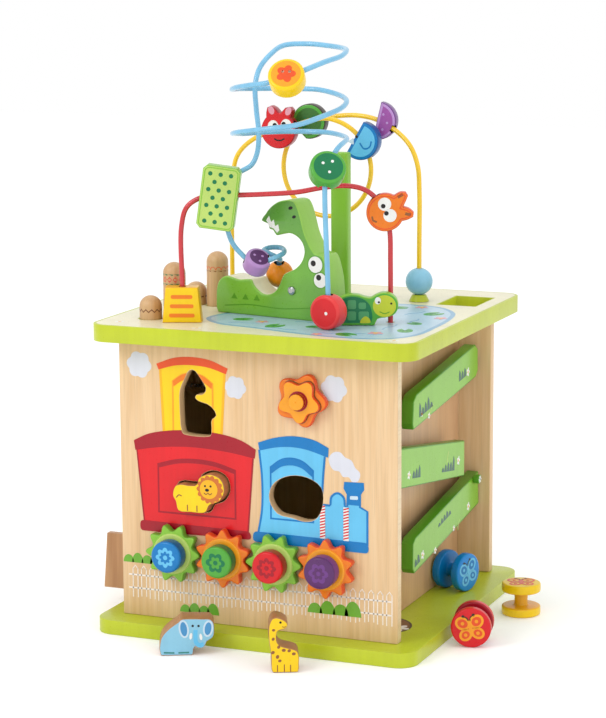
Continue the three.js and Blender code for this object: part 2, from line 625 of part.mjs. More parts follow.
// A flat bead: an outline drawn around the wire, threaded by the wire in its own plane.
function flatBead(wire, near, outline, thickness, heading, bore) {
  const { part, point } = onWire(wire, near);
  const reach = Math.max(...outline.map((corner) => corner.length())) + 3;
  return cut(standing(outline, thickness, point, heading), wireBore(wire, part, reach, bore));
}
function round(radius, from, to, sides = 22) {
  const points = [];
  for (let k = 0; k < sides; k += 1) {
    const angle = THREE.MathUtils.degToRad(from + k * (to - from) / (sides - 1));
    points.push([radius * Math.cos(angle), radius * Math.sin(angle)]);
  }
  return straight(points);
}
function faceWithEars(radius, ears, earLength) {
  const points = [];
  const sides = 40;
  const earHalfWidth = 17;
  for (let k = 0; k < sides; k += 1) {
    const degrees = k * 360 / sides;
    const bump = Math.max(...ears.map((ear) => {
      const away = Math.abs(((degrees - ear + 540) % 360) - 180) / earHalfWidth;
      return away < 1 ? Math.cos(away * Math.PI / 2) ** 0.6 : 0;
    }));
    const r = radius + earLength * bump;
    const angle = THREE.MathUtils.degToRad(degrees);
    points.push([r * Math.cos(angle), r * Math.sin(angle)]);
  }
  return straight(points);
}
place('critter_bead', flatBead('yellow', vec(-66.7, 75, 503), faceWithEars(19.5, [62, 112], 8.5), BEAD_T, 4,
  5.2), finish(RED, 0.3));
place('green_bead', flatBead('yellow', vec(-40.9, 96, 511), round(18.8, -100, 190), BEAD_T, 4, 5),
  finish(MOSS, 0.3));
place('bird_bead', flatBead('yellow', vec(26.2, 77, 493.8), round(20.4, -140, 80), BEAD_T, 2, 5.2),
  finish(BLUE, 0.3));
place('moon_bead', flatBead('yellow', vec(37, 96, 512), round(20.4, -105, 78), BEAD_T, 6, 5),
  finish(PURPLE, 0.3));

const redAlong = RED_TO.clone().sub(RED_FROM).normalize();
const redHeading = THREE.MathUtils.radToDeg(Math.atan2(redAlong.y, redAlong.x));
function onRed(s, z) {
  return vec(RED_FROM.x + s * redAlong.x, RED_FROM.y + s * redAlong.y, z);
}
function chamferedPlate(wide, high, c) {
  const w = wide / 2;
  const h = high / 2;
  return straight([[-w + c, -h], [w - c, -h], [w, -h + c], [w, h - c], [w - c, h], [-w + c, h],
    [-w, h - c], [-w, -h + c]]);
}
const STRIPE_H = 36;
place('stripe_block', flatBead('red', onRed(0, TOP + GAP + STRIPE_H / 2), straight([
  [-20, -STRIPE_H / 2], [20, -STRIPE_H / 2], [16.5, STRIPE_H / 2], [-16.5, STRIPE_H / 2]]), 20, 20, 4),
  finish(YELLOW, 0.35));
const blockLean = THREE.MathUtils.degToRad(-8);
const blockOutline = chamferedPlate(38, 64, 4).map((corner) => corner.rotateAround(
  new THREE.Vector2(), blockLean).add(new THREE.Vector2(-1, -1.5)));
place('dotted_block', flatBead('red', onRed(39.7, 450.9), blockOutline, 22, redHeading, 5.6),
  finish(LEAF, 0.35));
place('fox_bead', flatBead('red', onRed(205.5, 435), faceWithEars(19, [-4, 42], 10), 14, 20, 6.5),
  finish(ORANGE, 0.3));

const turtleOutline = smooth([
  [-16, 1], [-17, 11], [-13, 21], [-6, 28], [3, 31.3], [12, 31], [19, 28.8], [25, 28.2], [30, 31],
  [37, 33.3], [45, 31.8], [51, 26], [52, 18], [48, 11.3], [40, 8.4], [31.5, 6.8], [28, 0.5], [22, 0.3],
  [8, 0.3], [-8, 0.3],
], 44);
const TURTLE = { x: 72.3, y: -86.6, thick: 14, heading: 20 };
place('turtle', standing(turtleOutline, TURTLE.thick, vec(TURTLE.x, TURTLE.y, TOP + GAP), TURTLE.heading),
  finish(MOSS, 0.35));

// ---- crocodile ----------------------------------------------------------------------------
const CROC = { x: -83, y: -59, thick: 30, heading: -10.35 };
const crocOutline = smooth([
  [1, 0], [-1, 12], [1, 30], [8, 37.5], [15, 38.5], [28, 36], [43, 37], [46, 32], [54, 25], [62, 23],
  [72, 27], [78, 35], [83, 45], [95, 51], [104, 59], [108, 70], [105.5, 79], [99.5, 85], [91, 88],
  [82, 87], [74.5, 85], [70, 90], [66, 91], [64, 96], [56, 99], [61, 106], [66, 112], [75, 118.5],
  [86, 121.5], [96, 120.5], [102, 110], [108, 90], [115, 76], [121, 69], [129, 67.5], [135, 54],
  [138, 38], [138, 3], [135, 0], [100, -0.1], [60, 0.1], [30, 0],
], 84).map((point) => new THREE.Vector2(point.x, Math.max(0, point.y)));
const crocFront = vec(0, -1, 0).applyAxisAngle(up, THREE.MathUtils.degToRad(CROC.heading));
const crocMiddle = vec(CROC.x, CROC.y, TOP + GAP).addScaledVector(crocFront, -CROC.thick / 2);
const RIVET = { s: 93.3, z: 29.7, r: 4.5 };
function crocPoint(s, z, depth) {
  const along = vec(1, 0, 0).applyAxisAngle(up, THREE.MathUtils.degToRad(CROC.heading));
  return crocMiddle.clone().addScaledVector(along, s).addScaledVector(crocFront, depth)
    .add(vec(0, 0, z));
}
const rivetPocket = rod(crocPoint(RIVET.s, RIVET.z, CROC.thick / 2), crocFront, 24, 2.3, 12);
place('crocodile', cut(standing(crocOutline, CROC.thick, crocMiddle, CROC.heading), rivetPocket),
  finish(MOSS, 0.4));
const rivetHead = rod(crocPoint(RIVET.s, RIVET.z, CROC.thick / 2 + GAP + 1), crocFront, 2, RIVET.r, 16);
const rivetShank = rod(crocPoint(RIVET.s, RIVET.z, CROC.thick / 2 - 4), crocFront, 10, 2, 12);
place('crocodile_rivet', join(rivetHead, rivetShank), finish(STEEL, 0.3, 1));

export default group;
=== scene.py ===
"""Wooden activity cube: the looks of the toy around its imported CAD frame.

Shapes are drawn in millimetres and scaled on the way into Blender. A print is a thin layer of ink
that lies on a face; `Face` says where a flat drawing goes.
"""
import math

import bmesh
import bpy
from mathutils import Matrix, Vector
from mathutils.geometry import tessellate_polygon


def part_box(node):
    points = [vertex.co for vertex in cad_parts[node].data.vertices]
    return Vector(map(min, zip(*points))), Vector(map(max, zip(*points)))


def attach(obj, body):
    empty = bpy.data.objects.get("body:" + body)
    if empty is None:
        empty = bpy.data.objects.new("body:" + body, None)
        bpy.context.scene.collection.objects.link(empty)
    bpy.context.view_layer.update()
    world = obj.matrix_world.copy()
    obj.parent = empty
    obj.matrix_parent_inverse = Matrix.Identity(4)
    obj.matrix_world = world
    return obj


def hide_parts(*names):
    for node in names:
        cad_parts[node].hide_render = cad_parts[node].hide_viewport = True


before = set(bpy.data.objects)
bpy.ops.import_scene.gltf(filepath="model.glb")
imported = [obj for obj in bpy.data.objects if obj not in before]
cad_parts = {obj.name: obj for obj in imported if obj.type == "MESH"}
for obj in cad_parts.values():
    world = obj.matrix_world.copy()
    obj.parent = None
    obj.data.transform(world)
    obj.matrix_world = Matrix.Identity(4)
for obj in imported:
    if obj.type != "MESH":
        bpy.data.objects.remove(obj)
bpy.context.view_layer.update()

MM = 0.001
UP = Vector((0, 0, 1))
TO_FRONT = (0, -1, 0)

# ---- driving sizes, in millimetres, as in the CAD ------------------------------------------
TOP = 323.0
BASE_T = 15.0
FRONT = -146.0
BACK = 155.4
LEFT = -153.6
WIRE_R = 2.6
INK = 0.12                    # thickness of one printed layer
CUBE = "cube"
SHARP_EDGE = 30.0             # degrees between two faces of an edge that gets eased
WELD = 2e-6                   # metres between points of the CAD meshes that are one
SAME_WAY = 0.02               # difference of two unit normals of one flat side
SAME_PLANE = 5e-5             # metres between the planes of one flat side
SHADE = 0.86                  # how dark a surface is in itself to look its colour in this studio


# ---- colours and materials -----------------------------------------------------------------
def srgb(red, green, blue):
    """An 8-bit display colour as a linear one."""
    def linear(value):
        share = value / 255
        return share / 12.92 if share <= 0.04045 else ((share + 0.055) / 1.055) ** 2.4
    return linear(red) * SHADE, linear(green) * SHADE, linear(blue) * SHADE, 1.0


def scaled(color, factor):
    return tuple(min(1.0, value * factor) for value in color[:3]) + (1.0,)


class Shader:
    """A node material with a Principled surface, and short calls for its other nodes."""

    def __init__(self, name):
        self.material = bpy.data.materials.new(name)
        self.material.use_nodes = True
        self.tree = self.material.node_tree
        self.surface = self.tree.nodes["Principled BSDF"]
        self.place = self.node("ShaderNodeTexCoord").outputs["Object"]

    def node(self, kind, **settings):
        made = self.tree.nodes.new(kind)
        for key, value in settings.items():
            setattr(made, key, value)
        return made

    def link(self, output, socket):
        self.tree.links.new(output, socket)

    def noise(self, scale, stretch=(1, 1, 1), detail=3.0, distortion=0.0):
        mapping = self.node("ShaderNodeMapping")
        mapping.inputs["Scale"].default_value = stretch
        self.link(self.place, mapping.inputs["Vector"])
        noise = self.node("ShaderNodeTexNoise")
        noise.inputs["Scale"].default_value = scale
        noise.inputs["Detail"].default_value = detail
        noise.inputs["Distortion"].default_value = distortion
        self.link(mapping.outputs["Vector"], noise.inputs["Vector"])
        return noise.outputs["Fac"]

    def ramp(self, value, low, high, low_color, high_color):
        ramp = self.node("ShaderNodeValToRGB")
        ramp.color_ramp.elements[0].position = low
        ramp.color_ramp.elements[0].color = low_color
        ramp.color_ramp.elements[1].position = high
        ramp.color_ramp.elements[1].color = high_color
        self.link(value, ramp.inputs["Fac"])
        return ramp.outputs["Color"]

    def mix(self, factor, first, second, blend="MIX"):
        mix = self.node("ShaderNodeMix", data_type="RGBA", blend_type=blend)
        for value, socket in ((factor, mix.inputs[0]), (first, mix.inputs[6]), (second, mix.inputs[7])):
            if isinstance(value, (int, float, tuple)):
                socket.default_value = value
            else:
                self.link(value, socket)
        return mix.outputs[2]

    def spread(self, value, low, high, start=0.3, end=0.7):
        """A value from start to end, spread from low to high."""
        spread = self.node("ShaderNodeMapRange")
        spread.inputs["From Min"].default_value = start
        spread.inputs["From Max"].default_value = end
        spread.inputs["To Min"].default_value = low
        spread.inputs["To Max"].default_value = high
        self.link(value, spread.inputs["Value"])
        return spread.outputs["Result"]

    def cover(self, color, uneven, smoothest, roughest):
        """Its colour, and its roughness between two values."""
        self.link(color, self.surface.inputs["Base Color"])
        self.link(self.spread(uneven, smoothest, roughest), self.surface.inputs["Roughness"])

    def bump(self, height, strength, distance):
        bump = self.node("ShaderNodeBump")
        bump.inputs["Strength"].default_value = strength
        bump.inputs["Distance"].default_value = distance
        self.link(height, bump.inputs["Height"])
        self.link(bump.outputs["Normal"], self.surface.inputs["Normal"])

    def set(self, **values):
        for name, value in values.items():
            self.surface.inputs[name.replace("_", " ")].default_value = value


# ---- camera, floor and light ----------------------------------------------------------------
def make_camera():
    """The camera looks at a point near the middle of the toy, from its front right."""
    azimuth, elevation, roll = math.radians(22.63), math.radians(10.238), math.radians(-0.324)
    distance, sideways, height = 2.5258, -0.01027, 0.26898
    right = Vector((math.cos(azimuth), math.sin(azimuth), 0))
    back = Vector((math.sin(azimuth) * math.cos(elevation), -math.cos(azimuth) * math.cos(elevation),
                   math.sin(elevation)))
    up = back.cross(right)
    place = right * sideways + UP * height + back * distance
    turned_right = right * math.cos(roll) + up * math.sin(roll)
    turned_up = up * math.cos(roll) - right * math.sin(roll)
    data = bpy.data.cameras.new("camera")
    data.sensor_width = 36
    data.lens = 120.29
    data.clip_end = 30
    camera = bpy.data.objects.new("camera", data)
    bpy.context.scene.collection.objects.link(camera)
    turn = Matrix((turned_right, turned_up, back)).transposed()
    camera.matrix_world = Matrix.Translation(place) @ turn.to_4x4()
    bpy.context.scene.camera = camera


def soft_light(name, place, aim, size, power, color=(1, 1, 1)):
    data = bpy.data.lights.new(name, "AREA")
    data.shape = "DISK"
    data.size = size
    data.energy = power
    data.color = color
    lamp = bpy.data.objects.new(name, data)
    bpy.context.scene.collection.objects.link(lamp)
    lamp.location = place
    lamp.rotation_euler = (Vector(aim) - Vector(place)).to_track_quat("-Z", "Y").to_euler()


def make_studio():
    world = bpy.data.worlds.new("studio")
    world.use_nodes = True
    world.node_tree.nodes["Background"].inputs["Color"].default_value = (1.0, 1.0, 1.0, 1.0)
    world.node_tree.nodes["Background"].inputs["Strength"].default_value = 1.0
    bpy.context.scene.world = world
    bpy.context.scene.view_settings.view_transform = "Standard"
    aim = (0, 0, 0.28)
    soft_light("key", (-1.3, -2.4, 2.1), aim, 1.5, 26)
    soft_light("fill", (2.4, -1.5, 1.3), aim, 2.0, 8)
    soft_light("overhead", (0.1, 0.2, 2.6), aim, 2.2, 8)
    half = 6.0
    mesh = bpy.data.meshes.new("floor")
    mesh.from_pydata([(-half, -half, 0), (half, -half, 0), (half, half, 0), (-half, half, 0)], [],
                     [(0, 1, 2, 3)])
    floor = bpy.data.objects.new("floor", mesh)
    bpy.context.scene.collection.objects.link(floor)
    floor.location.z = -0.0002
    shader = Shader("floor")
    shader.set(Base_Color=(0.97, 0.97, 0.97, 1), Roughness=0.8, Specular_IOR_Level=0.0,
               Emission_Color=(1, 1, 1, 1), Emission_Strength=0.07)
    mesh.materials.append(shader.material)


make_camera()
make_studio()


ALONG = {"x": (0.05, 1, 1), "y": (1, 0.05, 1), "z": (1, 1, 0.05)}


def timber(name, pale, deep, along="z", rough=0.42):
    """Bare or clear-lacquered wood: broad growth bands, fine streaks and small pores."""
    shader = Shader(name)
    stretch = ALONG[along]
    bands = shader.noise(34, stretch, 2.0, 0.35)
    streaks = shader.noise(210, stretch, 4.0, 0.2)
    pores = shader.noise(900, tuple(1 if s == 1 else 0.02 for s in stretch), 2.0)
    base = shader.ramp(bands, 0.32, 0.68, deep, pale)
    fine = shader.ramp(streaks, 0.30, 0.62, scaled(deep, 0.92), pale)
    color = shader.mix(0.45, base, fine)
    color = shader.mix(0.16, color, shader.ramp(pores, 0.36, 0.46, scaled(deep, 0.55), pale), "MULTIPLY")
    shader.cover(color, streaks, rough - 0.06, rough + 0.08)
    shader.bump(shader.mix(0.5, streaks, pores), 0.18, 0.0003)
    shader.set(Coat_Weight=0.12, Coat_Roughness=0.25, Specular_IOR_Level=0.4)
    return shader.material


def paint(name, color):
    """Satin paint on wood: slightly uneven cover, with faint grain and brush marks under it."""
    shader = Shader(name)
    streaks = shader.noise(170, ALONG["z"], 3.0, 0.2)
    clouds = shader.noise(22, (1, 1, 1), 3.0)
    peel = shader.noise(650, (1, 1, 1), 2.0)
    tone = shader.ramp(clouds, 0.30, 0.72, scaled(color, 0.90), scaled(color, 1.06))
    tone = shader.mix(0.28, tone, shader.ramp(streaks, 0.32, 0.66, scaled(color, 0.86),
                                              scaled(color, 1.04)))
    shader.cover(tone, peel, 0.27, 0.39)
    shader.bump(shader.mix(0.6, streaks, peel), 0.10, 0.00025)
    shader.set(Coat_Weight=0.16, Coat_Roughness=0.12, Specular_IOR_Level=0.3)
    return shader.material


def plastic_coat(name, color):
    """Smooth dipped plastic on steel wire."""
    shader = Shader(name)
    dip = shader.noise(120, (1, 1, 0.4), 2.0)
    tone = shader.ramp(dip, 0.3, 0.7, scaled(color, 0.92), scaled(color, 1.05))
    shader.cover(tone, dip, 0.20, 0.30)
    shader.bump(shader.noise(420), 0.05, 0.0002)
    shader.set(Coat_Weight=0.4, Coat_Roughness=0.08)
    return shader.material


def metal(name, color):
    shader = Shader(name)
    brushed = shader.noise(500, (1, 1, 0.1), 3.0)
    tone = shader.ramp(brushed, 0.3, 0.7, scaled(color, 0.82), color)
    shader.cover(tone, brushed, 0.20, 0.38)
    shader.bump(brushed, 0.08, 0.0001)
    shader.set(Metallic=1.0)
    return shader.material


PINE = timber("pine", srgb(244, 214, 172), srgb(228, 188, 138))
# Painted shade: a darker, pinker copy of the pine for the ramp wall on the right side, which faces away
# from the key light.
PINE_SHADED = timber("pine_shaded_side", srgb(240, 200, 156), srgb(222, 174, 128))
BIRCH_EDGE = timber("birch_edge", srgb(246, 226, 188), srgb(232, 204, 158), "y")
BEECH = timber("beech", srgb(222, 178, 128), srgb(196, 146, 96))
PEG_WOOD = timber("peg_wood", srgb(226, 190, 142), srgb(200, 154, 104))
DOOR_WOOD = timber("door_wood", srgb(206, 160, 112), srgb(176, 126, 80))
# Painted shade: dark wood that the walls of drilled bores take, for the shadow inside the holes.
BORE_SHADE = timber("bore_painted_shade", srgb(70, 52, 38), srgb(40, 28, 20))

COLORS = {
    "lime": (194, 206, 42), "leaf": (138, 198, 58), "grass": (112, 176, 52), "leaf_side": (92, 160, 40),
    "moss": (60, 120, 48), "emerald": (12, 122, 74), "fern": (84, 172, 60),
    "pistachio": (188, 216, 110), "orange": (244, 128, 20), "tangerine": (255, 152, 20),
    "amber": (250, 164, 30), "coral": (236, 84, 30), "red": (220, 20, 30), "crimson": (168, 12, 34),
    "wagon": (228, 26, 34), "rose": (232, 60, 60), "yellow": (252, 210, 10), "gold": (246, 184, 24),
    "blue": (0, 124, 196), "cobalt": (0, 88, 156), "sky": (104, 198, 242), "powder": (144, 204, 230),
    "ice": (206, 228, 242), "purple": (112, 60, 136), "plum": (92, 44, 104), "lilac": (190, 146, 208),
    "cloud": (222, 224, 234), "fence": (248, 238, 228), "white": (246, 246, 242), "black": (22, 20, 20),
    "cream": (240, 234, 200), "pond": (184, 214, 232), "pond_deep": (128, 180, 212),
    "teal": (58, 136, 130), "teak": (150, 92, 48), "brown": (120, 74, 40), "pink": (232, 160, 176),
    "charcoal": (52, 44, 34), "mane": (206, 112, 40), "jade": (80, 164, 104), "reed": (20, 92, 74),
    "denim": (74, 150, 204), "orchid": (160, 84, 164), "azure": (0, 138, 222), "sprout": (196, 208, 50),
    "sprout_side": (152, 206, 84),
}
PAINTS = {}


def ink(name):
    """The paint of that colour name, made when it is first used."""
    if name not in PAINTS:
        PAINTS[name] = paint(name, srgb(*COLORS[name]))
    return PAINTS[name]


def as_material(look):
    """A material as it is, or the paint of a colour name."""
    return ink(look) if isinstance(look, str) else look


# ---- flat drawing ---------------------------------------------------------------------------
def spline(points, closed=False, per=8):
    """A centripetal Catmull-Rom curve through points, as a list of points."""
    points = [Vector(p) for p in points]
    count = len(points)
    if closed:
        ring = [points[-1]] + points + points[:2]
    else:
        ring = [2 * points[0] - points[1]] + points + [2 * points[-1] - points[-2]]
    out = []
    for k in range(count if closed else count - 1):
        p0, p1, p2, p3 = ring[k:k + 4]
        d0, d1, d2 = (max((b - a).length ** 0.5, 1e-4) for a, b in ((p0, p1), (p1, p2), (p2, p3)))
        t1 = ((p1 - p0) / d0 - (p2 - p0) / (d0 + d1) + (p2 - p1) / d1) * d1
        t2 = ((p2 - p1) / d1 - (p3 - p1) / (d1 + d2) + (p3 - p2) / d2) * d1
        for j in range(per):
            s = j / per
            out.append(p1 + t1 * s + (3 * (p2 - p1) - 2 * t1 - t2) * s ** 2
                       + (2 * (p1 - p2) + t1 + t2) * s ** 3)
    if not closed:
        out.append(points[-1])
    return out


def smooth(points, per=6):
    return spline([Vector((x, y)) for x, y in points], True, per)


def oval(x, y, rx, ry=None, tilt=0.0, sides=36):
    ry = rx if ry is None else ry
    turn = math.radians(tilt)
    points = []
    for k in range(sides):
        angle = 2 * math.pi * k / sides
        u, v = rx * math.cos(angle), ry * math.sin(angle)
        points.append(Vector((x + u * math.cos(turn) - v * math.sin(turn),
                              y + u * math.sin(turn) + v * math.cos(turn))))
    return points


def rounded(points, radius, steps=5):
    """A polygon with its corners rounded."""
    points = [Vector(p) for p in points]
    out = []
    for k, corner in enumerate(points):
        before, after = points[k - 1] - corner, points[(k + 1) % len(points)] - corner
        reach = min(radius, before.length * 0.48, after.length * 0.48)
        start, end = corner + before.normalized() * reach, corner + after.normalized() * reach
        for j in range(steps + 1):
            s = j / steps
            out.append((1 - s) ** 2 * start + 2 * s * (1 - s) * corner + s ** 2 * end)
    return out


def straight(*places):
    """A straight-sided outline through those places."""
    return [Vector(p) for p in places]


def polar(radius, angle):
    return Vector((radius * math.cos(angle), radius * math.sin(angle)))


def area(loop):
    return sum(a.x * b.y - b.x * a.y for a, b in zip(loop, loop[1:] + loop[:1])) / 2


def anticlockwise(loop):
    return loop if area(loop) >= 0 else loop[::-1]


def inset(loop, distance):
    """An outline moved inwards, with mitred corners."""
    side = 1 if area(loop) > 0 else -1
    out = []
    for k, point in enumerate(loop):
        a = (point - loop[k - 1]).normalized()
        b = (loop[(k + 1) % len(loop)] - point).normalized()
        normal = Vector((-(a.y + b.y), a.x + b.x))
        if normal.length < 1e-6:
            normal = Vector((-a.y, a.x))
        normal.normalize()
        lean = max(0.4, normal.dot(Vector((-a.y, a.x))))
        out.append(point + normal * (side * distance / lean))
    return out


def stroke(points, width, closed=False):
    """The outline of a line of that width through points, or a ring if it is closed."""
    points = [Vector(p) for p in points]
    if closed:
        return [inset(points, -width / 2), inset(points, width / 2)]
    left, right = [], []
    for k, point in enumerate(points):
        a = points[max(0, k - 1)]
        b = points[min(len(points) - 1, k + 1)]
        along = (b - a).normalized()
        across = Vector((-along.y, along.x)) * width / 2
        left.append(point + across)
        right.append(point - across)
    return [left + right[::-1]]


def strokes(width, *lines):
    """The outlines of several lines of one width."""
    return [loop for line in lines for loop in stroke(line, width)]


def petals(x, y, count, inner, outer, phase=0.0, sides=72):
    points = []
    for k in range(sides):
        angle = 2 * math.pi * k / sides
        r = inner + (outer - inner) * abs(math.cos(count * angle / 2 + phase))
        points.append(Vector((x + r * math.cos(angle), y + r * math.sin(angle))))
    return points


def moved(loops, dx, dy, turn=0.0, size=1.0):
    c, s = math.cos(math.radians(turn)) * size, math.sin(math.radians(turn)) * size
    return [[Vector((dx + c * p.x - s * p.y, dy + s * p.x + c * p.y)) for p in loop] for loop in loops]


# ---- mesh building --------------------------------------------------------------------------
class Face:
    """A plane to draw on: an origin in mm, its right-hand and up directions, and outwards."""

    def __init__(self, origin, right, up):
        self.origin = Vector(origin)
        self.right = Vector(right).normalized()
        self.up = (Vector(up) - self.right * Vector(up).dot(self.right)).normalized()
        self.out = self.right.cross(self.up)

    def at(self, u, v, w=0.0):
        return (self.origin + self.right * u + self.up * v + self.out * w) * MM

    def flat(self, point):
        """A world point in metres as (u, v) here."""
        away = point / MM - self.origin
        return Vector((away.dot(self.right), away.dot(self.up)))


def upright(x, y, z):
    """A Face that looks to the front, with its origin there."""
    return Face((x, y, z), (1, 0, 0), UP)


def new_object(name, vertices, faces, looks=()):
    """A new object in the scene, from points in metres."""
    mesh = bpy.data.meshes.new(name)
    mesh.from_pydata([tuple(v) for v in vertices], [], faces)
    for look in looks:
        mesh.materials.append(as_material(look))
    obj = bpy.data.objects.new(name, mesh)
    bpy.context.scene.collection.objects.link(obj)
    return obj


def prism(loops, start=0):
    """The faces between two copies of flat loops, whose points follow each other from `start`."""
    size = sum(len(loop) for loop in loops)
    faces = []
    for a, b, c in tessellate_polygon([[Vector((p.x, p.y, 0)) for p in loop] for loop in loops]):
        faces.append((start + a, start + b, start + c))
        faces.append((start + size + c, start + size + b, start + size + a))
    at = start
    for loop in loops:
        for k in range(len(loop)):
            i, j = at + k, at + (k + 1) % len(loop)
            faces.append((i, j, j + size, i + size))
        at += len(loop)
    return faces


def add(name, vertices, faces, body, materials, sharp=34, replaces=(), marks=None):
    looks = materials if isinstance(materials, (list, tuple)) else [materials]
    obj = new_object(name, vertices, faces, looks)
    obj.data.validate()
    if marks:
        for polygon, mark in zip(obj.data.polygons, marks):
            polygon.material_index = mark
    return settle(obj, body, sharp, replaces)


def mend(mesh, reach=0.0):
    """Joins points that lie within reach, and turns the faces outwards."""
    work = bmesh.new()
    work.from_mesh(mesh)
    if reach:
        bmesh.ops.remove_doubles(work, verts=work.verts, dist=reach)
    bmesh.ops.recalc_face_normals(work, faces=work.faces)
    work.to_mesh(mesh)
    work.free()


def settle(obj, body, sharp=34, replaces=()):
    """Closes and smooths a piece's mesh, and puts it on its body."""
    mend(obj.data, 1e-7)
    obj.data.shade_smooth()
    obj.data.set_sharp_from_angle(angle=math.radians(sharp))
    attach(obj, body)
    if replaces:
        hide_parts(*([replaces] if isinstance(replaces, str) else replaces))
    return obj


def printed(name, shapes, face, material, body=CUBE, layer=1):
    """Ink lying on a face. Each shape is an outline, or a list of an outline and its holes."""
    vertices, faces = [], []
    top, bottom = layer * INK, -0.3
    for shape in shapes:
        loops = shape if isinstance(shape[0], list) else [shape]
        start = len(vertices)
        flat = [p for loop in loops for p in loop]
        vertices += [face.at(p.x, p.y, top) for p in flat]
        vertices += [face.at(p.x, p.y, bottom) for p in flat]
        faces += prism(loops, start)
    return add(name, vertices, faces, body, material)


def slab(name, loop, thickness, face, materials, body, ease=0.9, replaces=()):
    """A board cut to an outline, its front on the face, with eased edges. A second material
    covers its cut side."""
    rings = []
    steps = 3
    for k in range(steps + 1):
        lean = math.pi / 2 * k / steps
        rings.append((ease * (1 - math.sin(lean)), -ease * (1 - math.cos(lean))))
    rings += [(0, -thickness + ease)]
    for k in range(1, steps + 1):
        lean = math.pi / 2 * k / steps
        rings.append((ease * (1 - math.cos(lean)), -thickness + ease * (1 - math.sin(lean))))
    rings[0] = (ease, 0)
    vertices, faces, marks = [], [], []
    count = len(loop)
    for distance, depth in rings:
        vertices += [face.at(p.x, p.y, depth) for p in inset(loop, distance)]
    last = (len(rings) - 1) * count
    flat = [Vector((p.x, p.y, 0)) for p in inset(loop, ease)]
    for a, b, c in tessellate_polygon([flat]):
        faces += [(a, b, c), (last + c, last + b, last + a)]
        marks += [0, 0]
    for row in range(len(rings) - 1):
        for k in range(count):
            i, j = row * count + k, row * count + (k + 1) % count
            faces.append((i, j, j + count, i + count))
            marks.append(1 if 1 <= row < len(rings) - 2 else 0)
    if not isinstance(materials, (list, tuple)):
        materials = [materials, materials]
    return add(name, vertices, faces, body, materials, 40, replaces, marks)


def turned(name, profile, center, axis, materials, body, sides=56, ease=0.8, replaces=(),
           band=None):
    """A piece turned on a lathe, from (radius, height) points. `band` gives the range of heights
    and least radius that take the second material."""
    outline = rounded([Vector(p) for p in profile], ease, 4) if ease else [Vector(p) for p in profile]
    outline = [p for p in outline if p.x > 1e-4]
    axis = Vector(axis).normalized()
    side = axis.orthogonal().normalized()
    other = axis.cross(side)
    center = Vector(center)
    vertices = []
    for p in outline:
        for k in range(sides):
            angle = 2 * math.pi * k / sides
            ring = side * math.cos(angle) + other * math.sin(angle)
            vertices.append((center + axis * p.y + ring * p.x) * MM)
    faces, marks = [], []
    for row in range(len(outline) - 1):
        for k in range(sides):
            i, j = row * sides + k, row * sides + (k + 1) % sides
            faces.append((i, j, j + sides, i + sides))
            mid = (outline[row] + outline[row + 1]) / 2
            marks.append(1 if band and band[0] <= mid.y <= band[1] and mid.x >= band[2] else 0)
    faces.append(tuple(range(sides)))
    faces.append(tuple(range(len(vertices) - 1, len(vertices) - 1 - sides, -1)))
    marks += [0, 0]
    return add(name, vertices, faces, body, materials, 32, replaces, marks)


def tube_mesh(points, radius, sides=14):
    """Rings of a tube along points, in mm, with its frame carried along without twist."""
    vertices, faces = [], []
    side = None
    for k, point in enumerate(points):
        along = (points[min(k + 1, len(points) - 1)] - points[max(k - 1, 0)]).normalized()
        if side is None:
            side = along.orthogonal().normalized()
        side = (side - along * side.dot(along)).normalized()
        other = along.cross(side)
        for j in range(sides):
            angle = 2 * math.pi * j / sides
            vertices.append((point + (side * math.cos(angle) + other * math.sin(angle)) * radius) * MM)
        if k:
            for j in range(sides):
                a, b = (k - 1) * sides + j, (k - 1) * sides + (j + 1) % sides
                faces.append((a, b, b + sides, a + sides))
    faces.append(tuple(range(sides - 1, -1, -1)))
    faces.append(tuple(range(len(vertices) - sides, len(vertices))))
    return vertices, faces


def drill(obj, route, radius, reach=30.0):
    """Bores a bead along the part of a wire that runs through it. The bore walls take the cutter's dark
    wood, a painted shade for the shadow inside the hole.
    """
    low, high = (Vector(c) / MM for c in (obj.bound_box[0], obj.bound_box[6]))
    middle = (low + high) / 2
    near = min(range(len(route)), key=lambda k: (route[k] - middle).length)
    first = last = near
    while first > 0 and (route[first] - middle).length < reach:
        first -= 1
    while last < len(route) - 1 and (route[last] - middle).length < reach:
        last += 1
    vertices, faces = tube_mesh(route[first:last + 1], radius, 20)
    cutter = new_object("bore", vertices, faces, [BORE_SHADE])
    subtract(obj, cutter)


def eased(node, width, material, body=CUBE):
    """A copy of a CAD board with its edges eased, which stands for it."""
    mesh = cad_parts[node].data.copy()
    mesh.materials.clear()
    mesh.materials.append(as_material(material))
    work = bmesh.new()
    work.from_mesh(mesh)
    bmesh.ops.remove_doubles(work, verts=work.verts, dist=WELD)
    bmesh.ops.dissolve_limit(work, angle_limit=math.radians(0.8), verts=work.verts, edges=work.edges)
    corners = [e for e in work.edges if len(e.link_faces) == 2
               and e.calc_face_angle(0) > math.radians(SHARP_EDGE)]
    bmesh.ops.bevel(work, geom=corners, offset=width * MM, segments=3, profile=0.5, affect="EDGES",
                    clamp_overlap=True)
    bmesh.ops.triangulate(work, faces=[f for f in work.faces if len(f.verts) > 4])
    work.to_mesh(mesh)
    work.free()
    obj = bpy.data.objects.new(node + "_wood", mesh)
    bpy.context.scene.collection.objects.link(obj)
    return settle(obj, body, 34, node)


